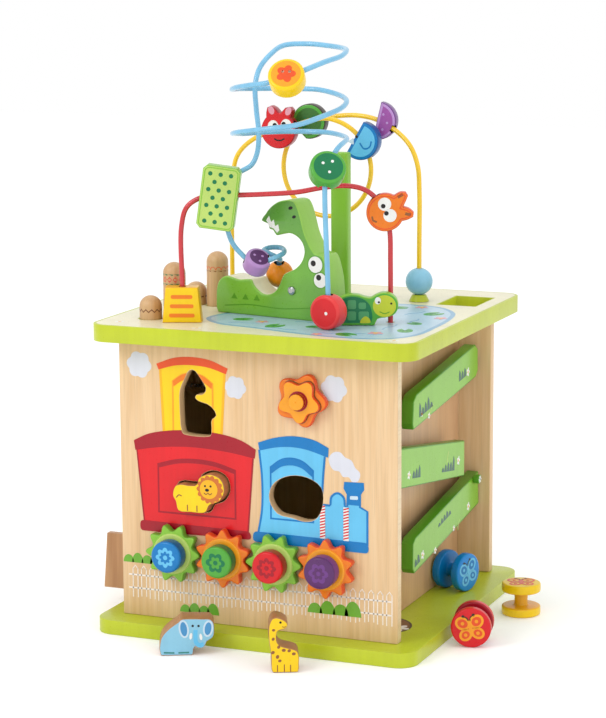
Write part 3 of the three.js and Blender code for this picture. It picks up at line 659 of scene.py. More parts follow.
def flat_loops(node, toward):
    """The edges of the flat side of a CAD node that looks most along `toward`, as closed lists of
    points in metres, the longest first, and the side's outward direction."""
    work = bmesh.new()
    work.from_mesh(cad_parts[node].data)
    bmesh.ops.remove_doubles(work, verts=work.verts, dist=WELD)
    toward = Vector(toward).normalized()
    best, best_score = [], 0.0
    tried = []
    for polygon in sorted(work.faces, key=lambda f: -f.calc_area()):
        facing = polygon.normal.dot(toward)
        height = polygon.calc_center_median().dot(polygon.normal)
        known = any((polygon.normal - n).length < SAME_WAY and abs(height - h) < SAME_PLANE for n,
                    h in tried)
        if facing < 0.5 or known:
            continue
        tried.append((polygon.normal.copy(), height))
        alike = [f for f in work.faces if (f.normal - polygon.normal).length < SAME_WAY
                 and abs(f.calc_center_median().dot(polygon.normal) - height) < SAME_PLANE]
        score = sum(f.calc_area() for f in alike) * facing
        if score > best_score:
            best, best_score = alike, score
    normal = best[0].normal.copy()
    flat = set(best)
    edges = {e for f in best for e in f.edges if sum(g in flat for g in e.link_faces) == 1}
    loops = []
    while edges:
        edge = edges.pop()
        loop = [edge.verts[0], edge.verts[1]]
        while True:
            following = next((e for e in loop[-1].link_edges if e in edges), None)
            if following is None:
                break
            edges.discard(following)
            loop.append(following.other_vert(loop[-1]))
        if loop[0] == loop[-1]:
            loop.pop()
        loops.append([v.co.copy() for v in loop])
    work.free()
    loops.sort(key=lambda l: -sum((a - b).length for a, b in zip(l, l[1:] + l[:1])))
    return loops, normal


def face_of(node, toward):
    """A Face on that flat side of a CAD node, with its origin amid the outline, and the outline on
    it."""
    loops, normal = flat_loops(node, toward)
    loop = loops[0]
    middle = sum(loop, Vector()) / len(loop) / MM
    right = UP.cross(normal)
    face = Face(middle, right, normal.cross(right))
    return face, anticlockwise([face.flat(p) for p in loop])


def punch(obj, loops, face, grow=0.0):
    """Cuts holes right through a thin print."""
    vertices, faces = [], []
    for loop in loops:
        loop = inset(loop, -grow) if grow else loop
        start = len(vertices)
        vertices += [face.at(p.x, p.y, 3) for p in loop] + [face.at(p.x, p.y, -3) for p in loop]
        faces += prism([loop], start)
    cutter = new_object("punch", vertices, faces)
    mend(cutter.data)
    subtract(obj, cutter)


def subtract(obj, cutter):
    cut = obj.modifiers.new("cut", "BOOLEAN")
    cut.operation, cut.solver, cut.object = "DIFFERENCE", "EXACT", cutter
    cut.material_mode = "TRANSFER" if cutter.data.materials else "INDEX"
    bpy.context.view_layer.update()
    result = bpy.data.meshes.new_from_object(obj.evaluated_get(bpy.context.evaluated_depsgraph_get()))
    obj.modifiers.clear()
    obj.data = result
    bpy.data.objects.remove(cutter)
    result.set_sharp_from_angle(angle=math.radians(34))


def thickness_of(node, face):
    along = [(v.co / MM).dot(face.out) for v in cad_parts[node].data.vertices]
    return max(along) - min(along)


def fine(outline, per=3, corner=38):
    """A coarse outline made smooth between its real corners."""
    count = len(outline)

    def bend(k):
        a = outline[k] - outline[k - 1]
        b = outline[(k + 1) % count] - outline[k]
        return abs(math.degrees(a.angle(b, 0)))
    corners = [k for k in range(count) if bend(k) > corner]
    if not corners:
        return spline(outline, True, per)
    out = []
    for a, b in zip(corners, corners[1:] + [corners[0] + count]):
        out += spline([outline[k % count] for k in range(a, b + 1)], False, per)[:-1]
    return out


# ---- boards ---------------------------------------------------------------------------------
TOP_FACE = Face((0, 0, TOP), (1, 0, 0), (0, 1, 0))
BASE_FACE = Face((0, 0, BASE_T), (1, 0, 0), (0, 1, 0))
FRONT_FACE = upright(0, FRONT, 0)
BACK_FACE = Face((0, BACK, 0), (-1, 0, 0), (0, 0, 1))
LEFT_FACE = Face((LEFT, 0, 0), (0, -1, 0), (0, 0, 1))


def boards():
    eased("base_board", 1.8, "lime")
    eased("top_board", 1.8, "lime")
    for node, wood in (("front_panel", PINE), ("back_panel", PINE), ("left_panel", PINE),
                       ("ramp_wall", PINE_SHADED)):
        eased(node, 0.8, wood)
    eased("door", 0.9, DOOR_WOOD, "door")
    eased("door_pin", 0.3, STEEL)
    edge = Face((frame_box("front_panel")[1].x, (FRONT + 5.5), 0), (0, 1, 0), (0, 0, 1))
    printed("front_panel_edge", [rect(-4.6, 16.2, 4.6, 304.2)], edge, BIRCH_EDGE, layer=0.5)


def frame_box(node):
    low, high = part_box(node)
    return low / MM, high / MM


def rect(x0, y0, x1, y1):
    return straight((x0, y0), (x1, y0), (x1, y1), (x0, y1))


STAR_AXIS = (50.3, 256.7)
STEEL = metal("steel", srgb(196, 198, 202))


def top_print():
    """The pale printed top with a pond, lily pads and flowers."""
    loops, _ = flat_loops("top_board", UP)
    outlines = [[TOP_FACE.flat(p) for p in loop] for loop in loops]
    outer = inset(outlines[0], 3.2)
    holes = [inset(hole, -1.4) for hole in outlines[1:]]
    printed("top_ground", [[outer, *holes]], TOP_FACE, "cream")
    shore = smooth([(-78, -96), (-52, -126), (-8, -138), (40, -152), (92, -161), (138, -154), (160, -124),
                    (163, -70), (160, -18), (150, 22), (124, 52), (88, 60), (48, 54), (6, 44), (-34, 16),
                    (-52, -26), (-70, -56)])
    pond = inset(shore, 5)
    parts = [printed("pond_shore", [[shore, pond]], TOP_FACE, "pond_deep", layer=2),
             printed("pond_water", [pond], TOP_FACE, "pond", layer=2)]
    ripples = []
    for x, y, length, turn in ((-30, -112, 30, 8), (20, -132, 36, -10), (70, -140, 28, -6),
                               (112, -132, 30, 10),
                               (118, -84, 34, 80), (30, -86, 26, 0), (112, 6, 30, 60), (60, 22, 34, -12),
                               (128, -40, 26, 84), (10, 6, 30, 30)):
        wave = spline([(-length / 2, -1.5), (-length / 6, 1.5), (length / 6, -1.5), (length / 2, 1.5)],
                      per=5)
        ripples += moved(stroke(wave, 1.8), x, y, turn)
    parts.append(printed("pond_ripples", ripples, TOP_FACE, "pond_deep", layer=3))
    pads, veins, blooms, hearts = [], [], [], []
    for x, y, r, turn in ((-38, -92, 11, 20), (8, -118, 12, 70), (94, -142, 12, -20), (140, -100, 11, 110),
                          (132, 8, 12, 60), (84, 34, 11, 10), (-6, 26, 9, 200), (134, -56, 9, 150),
                          (46, -110, 8, 40)):
        notch = [Vector((0, 0))] + [Vector((r * math.cos(math.radians(a)),
                                            0.72 * r * math.sin(math.radians(a))))
                                    for a in range(24, 345, 12)]
        pads += moved([notch], x, y, turn)
        for spoke in (90, 150, 210, 270):
            reach = Vector((math.cos(math.radians(spoke)) * r * 0.8,
                            math.sin(math.radians(spoke)) * r * 0.55))
            veins += moved(stroke([Vector((0, 0)), reach], 0.8), x, y, turn)
    for x, y, r in ((-14, -100, 7), (118, -124, 8), (148, -16, 7), (106, 44, 7), (66, -150, 6)):
        blooms.append(petals(x, y, 5, r * 0.45, r))
        hearts.append(oval(x, y, r * 0.3, sides=20))
    parts.append(printed("lily_pads", pads, TOP_FACE, "fern", layer=4))
    parts.append(printed("lily_veins", veins, TOP_FACE, "emerald", layer=5))
    parts.append(printed("water_lilies", blooms, TOP_FACE, "pink", layer=4))
    parts.append(printed("lily_hearts", hearts, TOP_FACE, "yellow", layer=5))
    for part in parts:
        punch(part, outlines[1:], TOP_FACE, 1.4)
    daisies, eyes = [], []
    for x, y in ((-150, -150), (-60, -158), (-150, 40), (-60, 130), (30, 145), (-110, 150), (-40, 60),
                 (150, -158)):
        daisies.append(petals(x, y, 6, 2.2, 5.4))
        eyes.append(oval(x, y, 1.6, sides=16))
    printed("top_daisies", daisies, TOP_FACE, "white", layer=2)
    printed("top_daisy_eyes", eyes, TOP_FACE, "gold", layer=3)


def base_print():
    """A small puddle with a flower beside the end of the roller run."""
    pool = oval(120, -84, 27, 21, -62)
    printed("base_puddle", [[pool, inset(pool, 2.2)]], BASE_FACE, "charcoal")
    printed("base_puddle_fill", [inset(pool, 2.2)], BASE_FACE, "brown")
    printed("base_flower", [petals(130, -92, 6, 5.5, 12)], BASE_FACE, "white", layer=2)
    printed("base_flower_eye", [oval(130, -92, 3.2)], BASE_FACE, "black", layer=3)


# ---- the train on the front -----------------------------------------------------------------
def arch(left, right, spring, crown, lean=0.0):
    """An arched edge from left to right: heights at its ends and at its middle."""
    return spline([(left, spring), (left + (right - left) * 0.25, spring + (crown - spring) * 0.78 + lean),
                   ((left + right) / 2, crown), (left + (right - left) * 0.75,
                                                 spring + (crown - spring) * 0.78 - lean), (right, spring)],
                  per=7)


def window(left, right, sill, spring, crown, thick):
    """A carriage window: a thin frame with a thick arched head, drawn as two outlines."""
    head = arch(left, right, spring, crown)
    border = straight((left, sill), *head, (right, sill))
    under = arch(left + 1.2, right - 1.2, spring - thick * 0.9, crown - thick)
    return stroke(border, 1.8, True), head + under[::-1]


def train():
    loops, _ = flat_loops("front_panel", TO_FRONT)
    cutouts = [[FRONT_FACE.flat(p) for p in loop] for loop in loops[1:4]]
    layers = []

    def lay(name, shapes, color, layer):
        layers.append(printed(name, shapes, FRONT_FACE, color, layer=layer))

    # yellow carriage
    roof = arch(-111.4, -32, 281.7, 291)
    eaves = arch(-109, -34, 275.8, 282.6)
    lay("carriage_roof", [roof + eaves[::-1]], "coral", 2)
    body = straight((-105, 207.4), (-39, 207.2), (-34.8, 276), *eaves[::-1][1:-1], (-108.2, 276))
    lay("carriage_body", [body], "yellow", 1)
    lay("carriage_edge", strokes(2.6, [(-107.2, 276), (-104, 208)], [(-35.6, 276), (-40, 208)])
        + stroke([(-104.5, 208.4), (-39.5, 208.4)], 2), "gold", 2)
    frame_line, head = window(-93.4, -49, 211.4, 265, 274.4, 6)
    lay("carriage_window", [frame_line], "amber", 2)
    lay("carriage_window_head", [head], "orange", 3)

    # red wagon
    roof = spline([(-138.3, 200.3), (-122, 208.2), (-98, 213.4), (-70, 215.4), (-40, 214), (-18, 209),
                   (-2.1, 201)])
    eaves = spline([(-136.8, 190.2), (-110.8, 195.1), (-73.4, 198.1), (-32.3, 196), (-3.2, 191.8)])
    lay("wagon_roof", [roof + eaves[::-1]], "crimson", 4)
    body = straight((-128.3, 113), (-10.7, 113), (-4.4, 191.9), *eaves[::-1][1:-1], (-135.6, 190.4))
    lay("wagon_body", [body], "wagon", 3)
    lay("wagon_edge", strokes(1.6, [(-134.9, 190.4), (-127.6, 114)], [(-5.2, 191.6), (-11.4, 114)]),
        "crimson", 4)
    frame_line, head = window(-111, -25, 127.6, 177.6, 185.2, 3.8)
    lay("wagon_window", [frame_line], "crimson", 4)
    lay("wagon_window_head", [head], "crimson", 5)
    lay("wagon_base", [rounded([(-132.6, 117.2), (-9.2, 115.8), (-7.6, 107.4), (-132.6, 106)], 4.5)],
        "crimson", 5)

    # blue engine
    roof = spline([(0.6, 208.6), (17.8, 214.6), (38.6, 218), (60.9, 215.7), (76.8, 208.8)])
    eaves = spline([(2, 200.6), (21.2, 205.4), (38.5, 206.8), (54, 205.2), (76.1, 199.2)])
    lay("engine_roof", [roof + eaves[::-1]], "blue", 4)
    left_side = spline([(1.6, 201.3), (4.6, 172), (4.2, 140), (-0.6, 113)])
    right_side = spline([(72.6, 200), (70.4, 174.3), (69.3, 150.6)])
    cab = left_side + [Vector((68, 113))] + right_side[::-1] + eaves[::-1][2:-2]
    lay("engine_cab", [cab], "sky", 2)
    chimney = ((97, 163.7), (93.6, 169.6), (93.6, 175), (113.8, 175.6), (113.4, 169.9), (110, 164.8))
    boiler = spline([(68, 150.6), (77.5, 150.6)], per=1) + spline(
        [(78.5, 152), (79.6, 159.6), (86.2, 163.9), (92.6, 159.8), (93.9, 151.4)]) + straight(
        (96.4, 151.4), *chimney, (110, 151.6), (117.8, 147.8), (117.8, 113), (68, 113))
    lay("engine_boiler", [boiler], "sky", 1)
    lay("engine_funnel", [straight((97, 153), *chimney, (110, 153))], "blue", 2)
    lay("engine_funnel_band", [rounded([(99.4, 158.6), (107.8, 159), (107.8, 162.6), (99.4, 162.2)], 1.2)],
        "ice", 3)
    lay("engine_outline", strokes(2.2, left_side, right_side, boiler[:-1]), "blue", 3)
    frame_line, head = window(14, 60, 131.7, 184.5, 195.2, 7)
    lay("engine_window", [frame_line], "blue", 3)
    lay("engine_window_head", [head], "blue", 5)
    bands, stripes = [], []
    for x in (70, 95.2):
        bands.append(rect(x - 2.8, 116, x + 2.8, 150))
        for k in range(11):
            z = 117 + 3 * k
            stripes.append(straight((x - 2.8, z), (x + 2.8, z + 1.8), (x + 2.8, z + 3.2),
                                    (x - 2.8, z + 1.4)))
    lay("engine_bands", bands, "white", 4)
    lay("engine_stripes", stripes, "red", 5)
    lay("engine_base", [rounded([(-5.4, 116.8), (118.6, 115.8), (119.4, 105.2), (-6.2, 106)], 4.5)], "blue",
        5)
    for part in layers:
        punch(part, cutouts, FRONT_FACE, 0.5)


def meadow(name, face, left, right, clouds, bushes, fence=67):
    """Clouds over a white picket fence with bushes in front, as on the front."""
    shapes = [petals(x, y, 6, size * 0.84, size, 0.4) for x, y, size in clouds]
    printed(name + "_clouds", shapes, face, "cloud")
    pickets = []
    width = 5.6
    count = int((right - left) / 9.6)
    for k in range(count):
        x = left + (k + 0.5) * (right - left) / count
        foot = 34 + 1.2 * math.sin(k * 1.7)
        pickets += stroke([(x, foot), (x, fence - 2)], 1.0)
        pickets += stroke([(x + width, foot), (x + width, fence - 2)], 1.0)
        pickets += stroke([(x, fence - 2.6), (x + width / 2, fence + 1), (x + width, fence - 2.6)], 1.0)
    for z in (44, 58):
        pickets += stroke([(left, z), (right, z)], 1.6)
    printed(name + "_fence", pickets, face, "fence")
    tufts = []
    arc = [math.radians(a) for a in range(0, 181, 12)]
    for x, z, size in bushes:
        for dx, rise, r in ((-16, 0, 7.5), (-3, 3, 8), (10.5, 1, 8), (23, 5, 8.5)):
            half = size * r
            tufts.append([Vector((x + size * dx + half * math.cos(a),
                                  z + (10 + rise) * size * math.sin(a))) for a in arc])
    printed(name + "_bushes", tufts, face, "grass", layer=2)


def meadows():
    meadow("front", FRONT_FACE, -147, 143, ((-131, 279.5, 14), (-24, 263, 12), (82.5, 269, 14)),
           ((-134, 71, 0.8), (-70, 24, 0.8), (78, 38.5, 1.05)))
    meadow("back", BACK_FACE, -143, 147, ((-90, 262, 18), (20, 240, 14), (96, 270, 16)),
           ((-100, 36, 1.1), (70, 38, 1)))
    meadow("side", LEFT_FACE, 70, 128, ((-90, 264, 15), (80, 250, 16)), ((98, 38, 0.9),))
    smoke = smooth([(78, 192), (77, 199), (82, 205), (89, 205.5), (94, 201), (101, 198), (105, 191),
                    (110, 186), (108, 178), (102, 176.6), (98, 181), (92, 181), (88, 186), (82, 187)])
    printed("engine_smoke", [smoke], FRONT_FACE, "cloud")
    printed("back_sun", [petals(-40, 190, 12, 22, 30)], BACK_FACE, "gold")
    printed("back_sun_disc", [oval(-40, 190, 18, sides=48)], BACK_FACE, "yellow", layer=2)
    hills = spline([(-146, 96), (-96, 130), (-30, 104), (36, 132), (100, 108), (146, 118)])
    printed("back_hills", [straight(*hills, (146, 74), (-146, 74))], BACK_FACE, "fern")


# ---- roller run -----------------------------------------------------------------------------
RUN_X = 137.0
RUN_FACE = Face((RUN_X, 0, 0), (0, 1, 0), (0, 0, 1))


def reeds(x, y, turn, heights):
    """Reeds of those heights along a slope, as outlines."""
    shapes = []
    for k, height in enumerate(heights):
        s = k * 8.4
        blade = straight((s - 3.9, 0), (s - 3.2, height * 0.6), (s - 0.8, height),
                         (s + 2.4, height * 0.72), (s + 3.9, 0))
        shapes += moved([blade], x, y, turn)
    return shapes


def ramps():
    for node in ("upper_ramp", "middle_ramp", "lower_ramp"):
        eased(node, 1.2, "leaf_side")
        loops, _ = flat_loops(node, (1, 0, 0))
        outline = anticlockwise([RUN_FACE.flat(p) for p in loops[0]])
        printed(node + "_front", [inset(outline, 1.4)], RUN_FACE, "leaf")
    eased("ramp_stop", 0.8, "leaf_side")
    clumps = (reeds(-46, 226, 6, (15, 8, 11, 14, 6)) + reeds(78, 241, 6, (12, 9, 10))
              + reeds(-66, 166, -9, (8, 10, 13)) + reeds(24, 153, -9, (5, 8, 10, 10, 16))
              + reeds(14, 97, 8, (4, 6, 7, 8, 5)) + reeds(-58, 72, 10, (8, 10)))
    printed("run_reeds", clumps, RUN_FACE, "reed", layer=2)
    flowers = ((-42, 228, 3.4), (104, 246, 5), (-80, 172, 4.4), (74, 155, 5), (108, 97, 5), (-38, 79, 5),
               (1, 74, 4), (-20, 222, 3.4), (60, 84, 3.4))
    printed("run_flowers", [petals(y, z, 5, r * 0.45, r) for y, z, r in flowers], RUN_FACE, "white",
            layer=2)
    printed("run_flower_eyes", [oval(y, z, r * 0.28, sides=16) for y, z, r in flowers], RUN_FACE,
            "gold", layer=3)
    stalks = []
    for y, z, turn in ((76, 84, 62), (-12, 228, 40), (40, 166, 70)):
        stalks += moved(stroke([(-6, 0), (0, 1.5), (6, 0)], 1.6), y, z, turn)
    printed("run_stalks", stalks, RUN_FACE, "pistachio", layer=2)
    stop = Face((frame_box("ramp_stop")[1].x, 126, 124), (0, 1, 0), (0, 0, 1))
    printed("stop_flower", [petals(0, 0, 6, 1.8, 4.2)], stop, "white")
    printed("stop_flower_eye", [oval(0, 0, 1.3, sides=16)], stop, "emerald", layer=2)


BUTTERFLY = 1.38                # size of the mark on a roller


def butterfly(name, face, body, line, fill, turn):
    wings, outlines, spots = [], [], []
    for side in (-1, 1):
        for x, y, rx, ry, tilt in ((5.2, 4.4, 5.0, 4.4, 34), (4.6, -4.4, 4.4, 3.8, -32)):
            wing = oval(side * x, y, rx, ry, side * tilt, 28)
            wings += moved([wing], 0, 0, turn, BUTTERFLY)
            outlines.append([moved([inset(wing, -0.6)], 0, 0, turn, BUTTERFLY)[0],
                             moved([inset(wing, 1.1)], 0, 0, turn, BUTTERFLY)[0]])
            spots += moved([oval(side * x, y, 1.3, sides=16)], 0, 0, turn, BUTTERFLY)
    trunk = moved([oval(0, 0, 1.3, 6.2, sides=20)], 0, 0, turn, BUTTERFLY)
    feelers = []
    for side in (-1, 1):
        feelers += moved(stroke(spline([(side * 0.5, 5.6), (side * 1.6, 8.2), (side * 3.6, 9.4)], per=4),
                                0.9), 0, 0, turn, BUTTERFLY)
        feelers += moved([oval(side * 3.9, 9.6, 1.1, sides=14)], 0, 0, turn, BUTTERFLY)
    printed(name + "_wings", wings, face, fill, body)
    printed(name + "_wing_lines", outlines, face, line, body, layer=2)
    printed(name + "_spots", spots + trunk, face, line, body, layer=3)
    printed(name + "_feelers", feelers, face, "charcoal", body, layer=2)


ROLLER = {"r": 20.5, "disc": 9.5, "length": 34.0, "axle": 7.0}


def roller(name, node, axis, colors, turn, look):
    low, high = frame_box(node)
    middle = (low + high) / 2
    half = ROLLER["length"] / 2
    inner = half - ROLLER["disc"]
    r, axle = ROLLER["r"], ROLLER["axle"]
    profile = [(0, -half), (r, -half), (r, -inner), (axle, -inner), (axle, inner), (r, inner), (r, half),
               (0, half)]
    # The second, darker colour on the axle and the inner faces of the discs is painted shade in the gap
    # between them.
    turned(name, profile, middle, axis, [colors[0], colors[1]], node, 72, 2.2, node,
           band=(-inner - 1, inner + 1, 0))
    for side in (-1, 1):
        out = Vector(axis).normalized() * side
        up = UP if abs(out.z) < 0.5 else Vector((0, 1, 0))
        face = Face(middle + out * half, up.cross(out), up)
        butterfly(f"{name}_mark_{'a' if side > 0 else 'b'}", face, node, look[0], look[1], turn * side)


def rollers():
    heading = math.radians(12)
    # Each roller's second colour is the painted shade between its discs.
    roller("blue_rolling_toy", "blue_roller", (0.956, -0.292, 0), ("azure", "blue"), 14, ("sky", "blue"))
    roller("red_rolling_toy", "red_roller", (math.sin(heading), -math.cos(heading), 0), ("red", "crimson"),
           12, ("amber", "coral"))
    roller("yellow_rolling_toy", "yellow_roller", UP, ("yellow", "gold"), 20, ("coral", "gold"))


# ---- gears and the star knob ----------------------------------------------------------------
GEAR_TEETH = 10
GEAR_T = 9.5
GEAR_Z = 87.5
GEAR_X = (-91.3, -35.3, 20.7, 76.7)


def gear_outline(phase, tip=30.4, root=23.5):
    """Rounded petal-like teeth."""
    points = []
    steps = GEAR_TEETH * 16
    for k in range(steps):
        angle = 2 * math.pi * k / steps + phase
        wave = math.cos(GEAR_TEETH * (angle - phase))
        share = 0.5 + 0.5 * wave
        r = root + (tip - root) * (share ** 1.25)
        points.append(polar(r, angle))
    return points


def gears():
    green, orange = ("leaf", "grass", "pistachio"), ("orange", "coral", "amber")
    looks = ((green, "blue", "cobalt", "sky", 8), (orange, "fern", "emerald", "emerald", 6),
             (green, "red", "crimson", "crimson", 8), (orange, "plum", "purple", "purple", 6))
    back = FRONT - 2.5
    for k, (x, ((rim, side, ring), cap, cap_side, flower, count)) in enumerate(zip(GEAR_X, looks), 1):
        body = f"gear_set_{k}"
        front = upright(x, back - GEAR_T, GEAR_Z)
        phase = (k - 1) % 2 * math.pi / GEAR_TEETH
        slab(f"gear_{k}_plate", gear_outline(phase), GEAR_T, front, [rim, side], body, 1.6, f"gear_{k}")
        turned(f"gear_{k}_ring", [(15.5, 0), (21.5, 0), (20.5, 1.5), (15.5, 1.5)],
               (x, back - 9.3, GEAR_Z), TO_FRONT, ring, body, 64, 0.5)
        turned(f"gear_{k}_cap", [(0, 0), (16.5, 0), (16.5, 16), (0, 16)], (x, back - 9.8, GEAR_Z),
               TO_FRONT, [cap, cap_side], body, 64, 3.2, f"gear_knob_{k}", band=(0, 13, 12))
        face = upright(x, back - 25.8, GEAR_Z)
        blossom = petals(0, 0, count, 7.6, 10.6)
        printed(f"gear_{k}_blossom", [[blossom, petals(0, 0, count, 4.4, 6.6)]], face, flower, body)
        printed(f"gear_{k}_seed", [oval(0, 0, 2.4, sides=24)], face, flower, body)
        eased(f"gear_axle_{k}", 0.5, BEECH, body)


def star_knob():
    middle = STAR_AXIS
    back = FRONT - 1.5

    def lobes(base, swing, phase):
        return [polar(base + swing * math.cos(5 * a + phase), a)
                for a in (2 * math.pi * k / 100 for k in range(100))]

    plate = upright(middle[0], back - 8, middle[1])
    slab("star_back_plate", lobes(24.5, 3.4, 0.4), 8, plate, ["orange", "coral"], "star", 2.2,
         "star_knob")
    upper = upright(middle[0], back - 13, middle[1])
    slab("star_front_plate", lobes(19.5, 3.2, 1.4), 5.4, upper, ["amber", "coral"], "star", 1.4)
    shade = inset(lobes(19.5, 3.2, 1.4), -0.9)
    printed("star_shadow_line", [[shade, inset(shade, 1.8)]], plate, "teak", "star")
    turned("star_grip", [(0, 0), (8, 0), (8, 7), (0, 7)], (middle[0], back - 13, middle[1]), TO_FRONT,
           ["amber", "crimson"], "star", 56, 1.6, band=(0, 5, 6))
    printed("star_grip_ring", [[oval(0, 0, 10.2, sides=48), oval(0, 0, 8.0, sides=48)]], upper,
            "crimson", "star")
    turned("star_shaft", [(0, 0), (4, 0), (4, 20), (9, 20), (9, 26), (0, 26)],
           (middle[0], back - 1, middle[1]), (0, 1, 0), BEECH, "star", 40, 0.6)


# ---- wires, their post and foot ----------------------------------------------------------------
WIRE_START = 308.0
YELLOW_Y = 85.0
LOOP_X, LOOP_Z, LOOP_R, LOOP_SHIFT = -17.5, 463.0, 53.0, 12.0
COIL_X, COIL_Y, COIL_R = 13.2, -89.8, 57.0
RED_FROM, RED_TO = Vector((-91, -125, 0)), Vector((108.2, -56, 0))


def yellow_route():
    near, far = YELLOW_Y - LOOP_SHIFT, YELLOW_Y + LOOP_SHIFT
    points = [(-130, YELLOW_Y, WIRE_START), (-130, YELLOW_Y, 400), (-129, YELLOW_Y, 440),
              (-121, YELLOW_Y - 4, 472), (-98, YELLOW_Y - 9, 492), (-60, near, 504)]
    for k in range(21):
        angle = math.pi / 2 - k / 20 * 2 * math.pi
        points.append((LOOP_X + LOOP_R * math.cos(angle), near + k / 20 * (far - near),
                       LOOP_Z + LOOP_R * math.sin(angle)))
    return points + [(12, far, 518), (36, far - 1, 514), (60, far - 4, 502), (77, YELLOW_Y + 3, 487),
                     (86, YELLOW_Y, 467), (88, YELLOW_Y, 440), (88, YELLOW_Y, 380),
                     (88, YELLOW_Y, WIRE_START)]


def on_red(s, z):
    return RED_FROM + (RED_TO - RED_FROM).normalized() * s + UP * z


def red_route():
    return [on_red(s, z) for s, z in (
        (0, WIRE_START), (0, 360), (0, 420), (6, 440), (21.7, 449.8), (44.5, 451.3), (87, 453), (117, 455),
        (144, 459.7), (168, 461.3), (185, 457.4), (197, 448), (206, 434), (210, 415.5), (210.8, 383.6),
        (210.8, WIRE_START))]


def coil_point(degrees, height):
    angle = math.radians(degrees)
    return (COIL_X + COIL_R * math.cos(angle), COIL_Y + COIL_R * math.sin(angle), height)


def blue_route():
    rise = ((-10, 502), (22, 508), (70, 511), (165, 511), (203, 514), (301, 527), (334, 536), (382, 546),
            (442, 554), (505, 555.5), (563, 558), (633, 568), (690, 587), (742, 596), (813, 600),
            (838, 598.5))
    points = [(67, -118.5, WIRE_START), (65, -118.5, 380), (62.5, -118.5, 460), (62.8, -117, 473),
              (64, -110.5, 487), (66.5, -104, 496)]
    for (start, low), (end, high) in zip(rise, rise[1:]):
        pieces = max(1, round((end - start) / 25))
        points += [coil_point(start + j / pieces * (end - start), low + j / pieces * (high - low))
                   for j in range(pieces)]
    return points + [
        coil_point(838, 598.5), (-20, -57, 591), (-27, -71, 577), (-29, -78, 560), (-28.5, -77, 536),
        (-26.5, -76, 511), (-28, -77, 492), (-33, -80, 480), (-45, -86, 471.5), (-53, -89, 459),
        (-57, -90, 437), (-56, -90, 415), (-51, -89.5, 401), (-42.5, -89, 391), (-33, -88, 383.5),
        (-21, -85.5, 382), (-9, -78, 386), (-4, -66, 390), (-12, -54, 393), (-24, -55, 393),
        (-28, -61.5, 391), (-20, -67, 388.5), (-11, -64, 384), (-13, -54, 380.5), (-21, -38, 378),
        (-27, -25, 374), (-27.5, -22.5, 366), (-27.5, -22.5, 345), (-27.5, -22.5, WIRE_START)]


ROUTES = {"yellow": spline(yellow_route(), per=14), "red": spline(red_route(), per=14),
          "blue": spline(blue_route(), per=14)}


def wires():
    coats = {"yellow": (250, 204, 22), "red": (206, 38, 48), "blue": (122, 190, 226)}
    for name, route in ROUTES.items():
        vertices, faces = tube_mesh(route, WIRE_R, 18)
        add(f"{name}_coated_wire", vertices, faces, CUBE, plastic_coat(f"{name}_coat", srgb(*coats[name])),
            40, f"{name}_wire")
    eased("green_post", 2.0, "leaf")
    turned("wire_foot_cone", [(3.0, 0), (11, 0), (7.5, 7), (3.0, 7)], (88, YELLOW_Y, TOP + 0.3), UP,
           "lime", CUBE, 48, 0.8, "wire_foot")


# ---- pegs and rockers --------------------------------------------------------------------------
PEG_R, PEG_BODY = 11.5, 85.0


def peg(node, band):
    low, high = frame_box(node)
    x, y = (low.x + high.x) / 2, (low.y + high.y) / 2
    foot = high.z - PEG_BODY
    nub = 4.5
    stem = foot - low.z - nub
    profile = [(0, -stem - nub), (nub * 0.7, -stem - nub * 0.7), (nub, -stem), (nub, 0), (PEG_R, 0)]
    dome = [(PEG_R * math.cos(a), PEG_BODY - 11 + 11 * math.sin(a))
            for a in (math.pi / 2 * k / 10 for k in range(11))]
    turned(f"{node}_wood", profile + dome, (x, y, foot), UP, PEG_WOOD, node, 56, 0, node)
    height, shapes = band
    for k, (color, around) in enumerate(shapes):
        vertices, faces = [], []
        for loop in around:
            start = len(vertices)
            for out in (0.14, -0.3):
                for p in loop:
                    r = PEG_R + out
                    across, along = r * math.cos(p.x / PEG_R), r * math.sin(p.x / PEG_R)
                    vertices.append(Vector((x + across, y + along, foot + PEG_BODY - height + p.y)) * MM)
            faces += prism([loop], start)
        add(f"{node}_band_{k + 1}", vertices, faces, node, color)


def around_peg(count, draw):
    pitch = 2 * math.pi * PEG_R / count
    return [moved([draw], pitch * k, 0)[0] for k in range(count)]


def pegs():
    def line(width, y0, y1, steps=3):
        low = [Vector((width * (k / steps - 0.5), y0)) for k in range(steps + 1)]
        return low + [Vector((p.x, y1)) for p in reversed(low)]

    diamond = straight((-2.6, 0), (0, -3.0), (2.6, 0), (0, 3.0))
    zigzag = straight((-3, -1.8), (0, 1.0), (3, -1.8), (3, -0.5), (0, 2.3), (-3, -0.5))
    dash = line(3.0, -0.8, 0.8)
    scallop = [Vector((3.0 * math.cos(a), 3.4 * math.sin(a) - 1.5)) for a in
               (math.pi * k / 8 for k in range(9))]
    full = 2 * math.pi * PEG_R / 12
    looks = {
        "tall_left": (17, [("red", around_peg(12, diamond)),
                           ("emerald", around_peg(12, line(full, 4.2, 5.6))),
                           ("emerald", around_peg(12, line(full, -5.6, -4.2)))]),
        "tall_right": (17, [("coral", around_peg(12, scallop)),
                            ("teak", around_peg(12, line(full, -3.6, -2.4)))]),
        "zigzag": (15, [("brown", around_peg(12, zigzag))]),
        "dashes": (15, [("brown", around_peg(12, dash))]),
    }
    tops = sorted(((frame_box(f"peg_{k}")[1].z, frame_box(f"peg_{k}")[1].x, f"peg_{k}") for k in range(1,
            5)), reverse=True)
    tall = sorted(tops[:2], key=lambda t: t[1])
    short = sorted(tops[2:], key=lambda t: t[1])
    for (_, _, node), look in zip(tall + short, ("tall_left", "tall_right", "zigzag", "dashes")):
        peg(node, looks[look])
    for k in (1, 2):
        eased(f"rocker_{k}", 0.8, BEECH, f"rocker_{k}")
        eased(f"rocker_pivot_{k}", 0.0, STEEL)


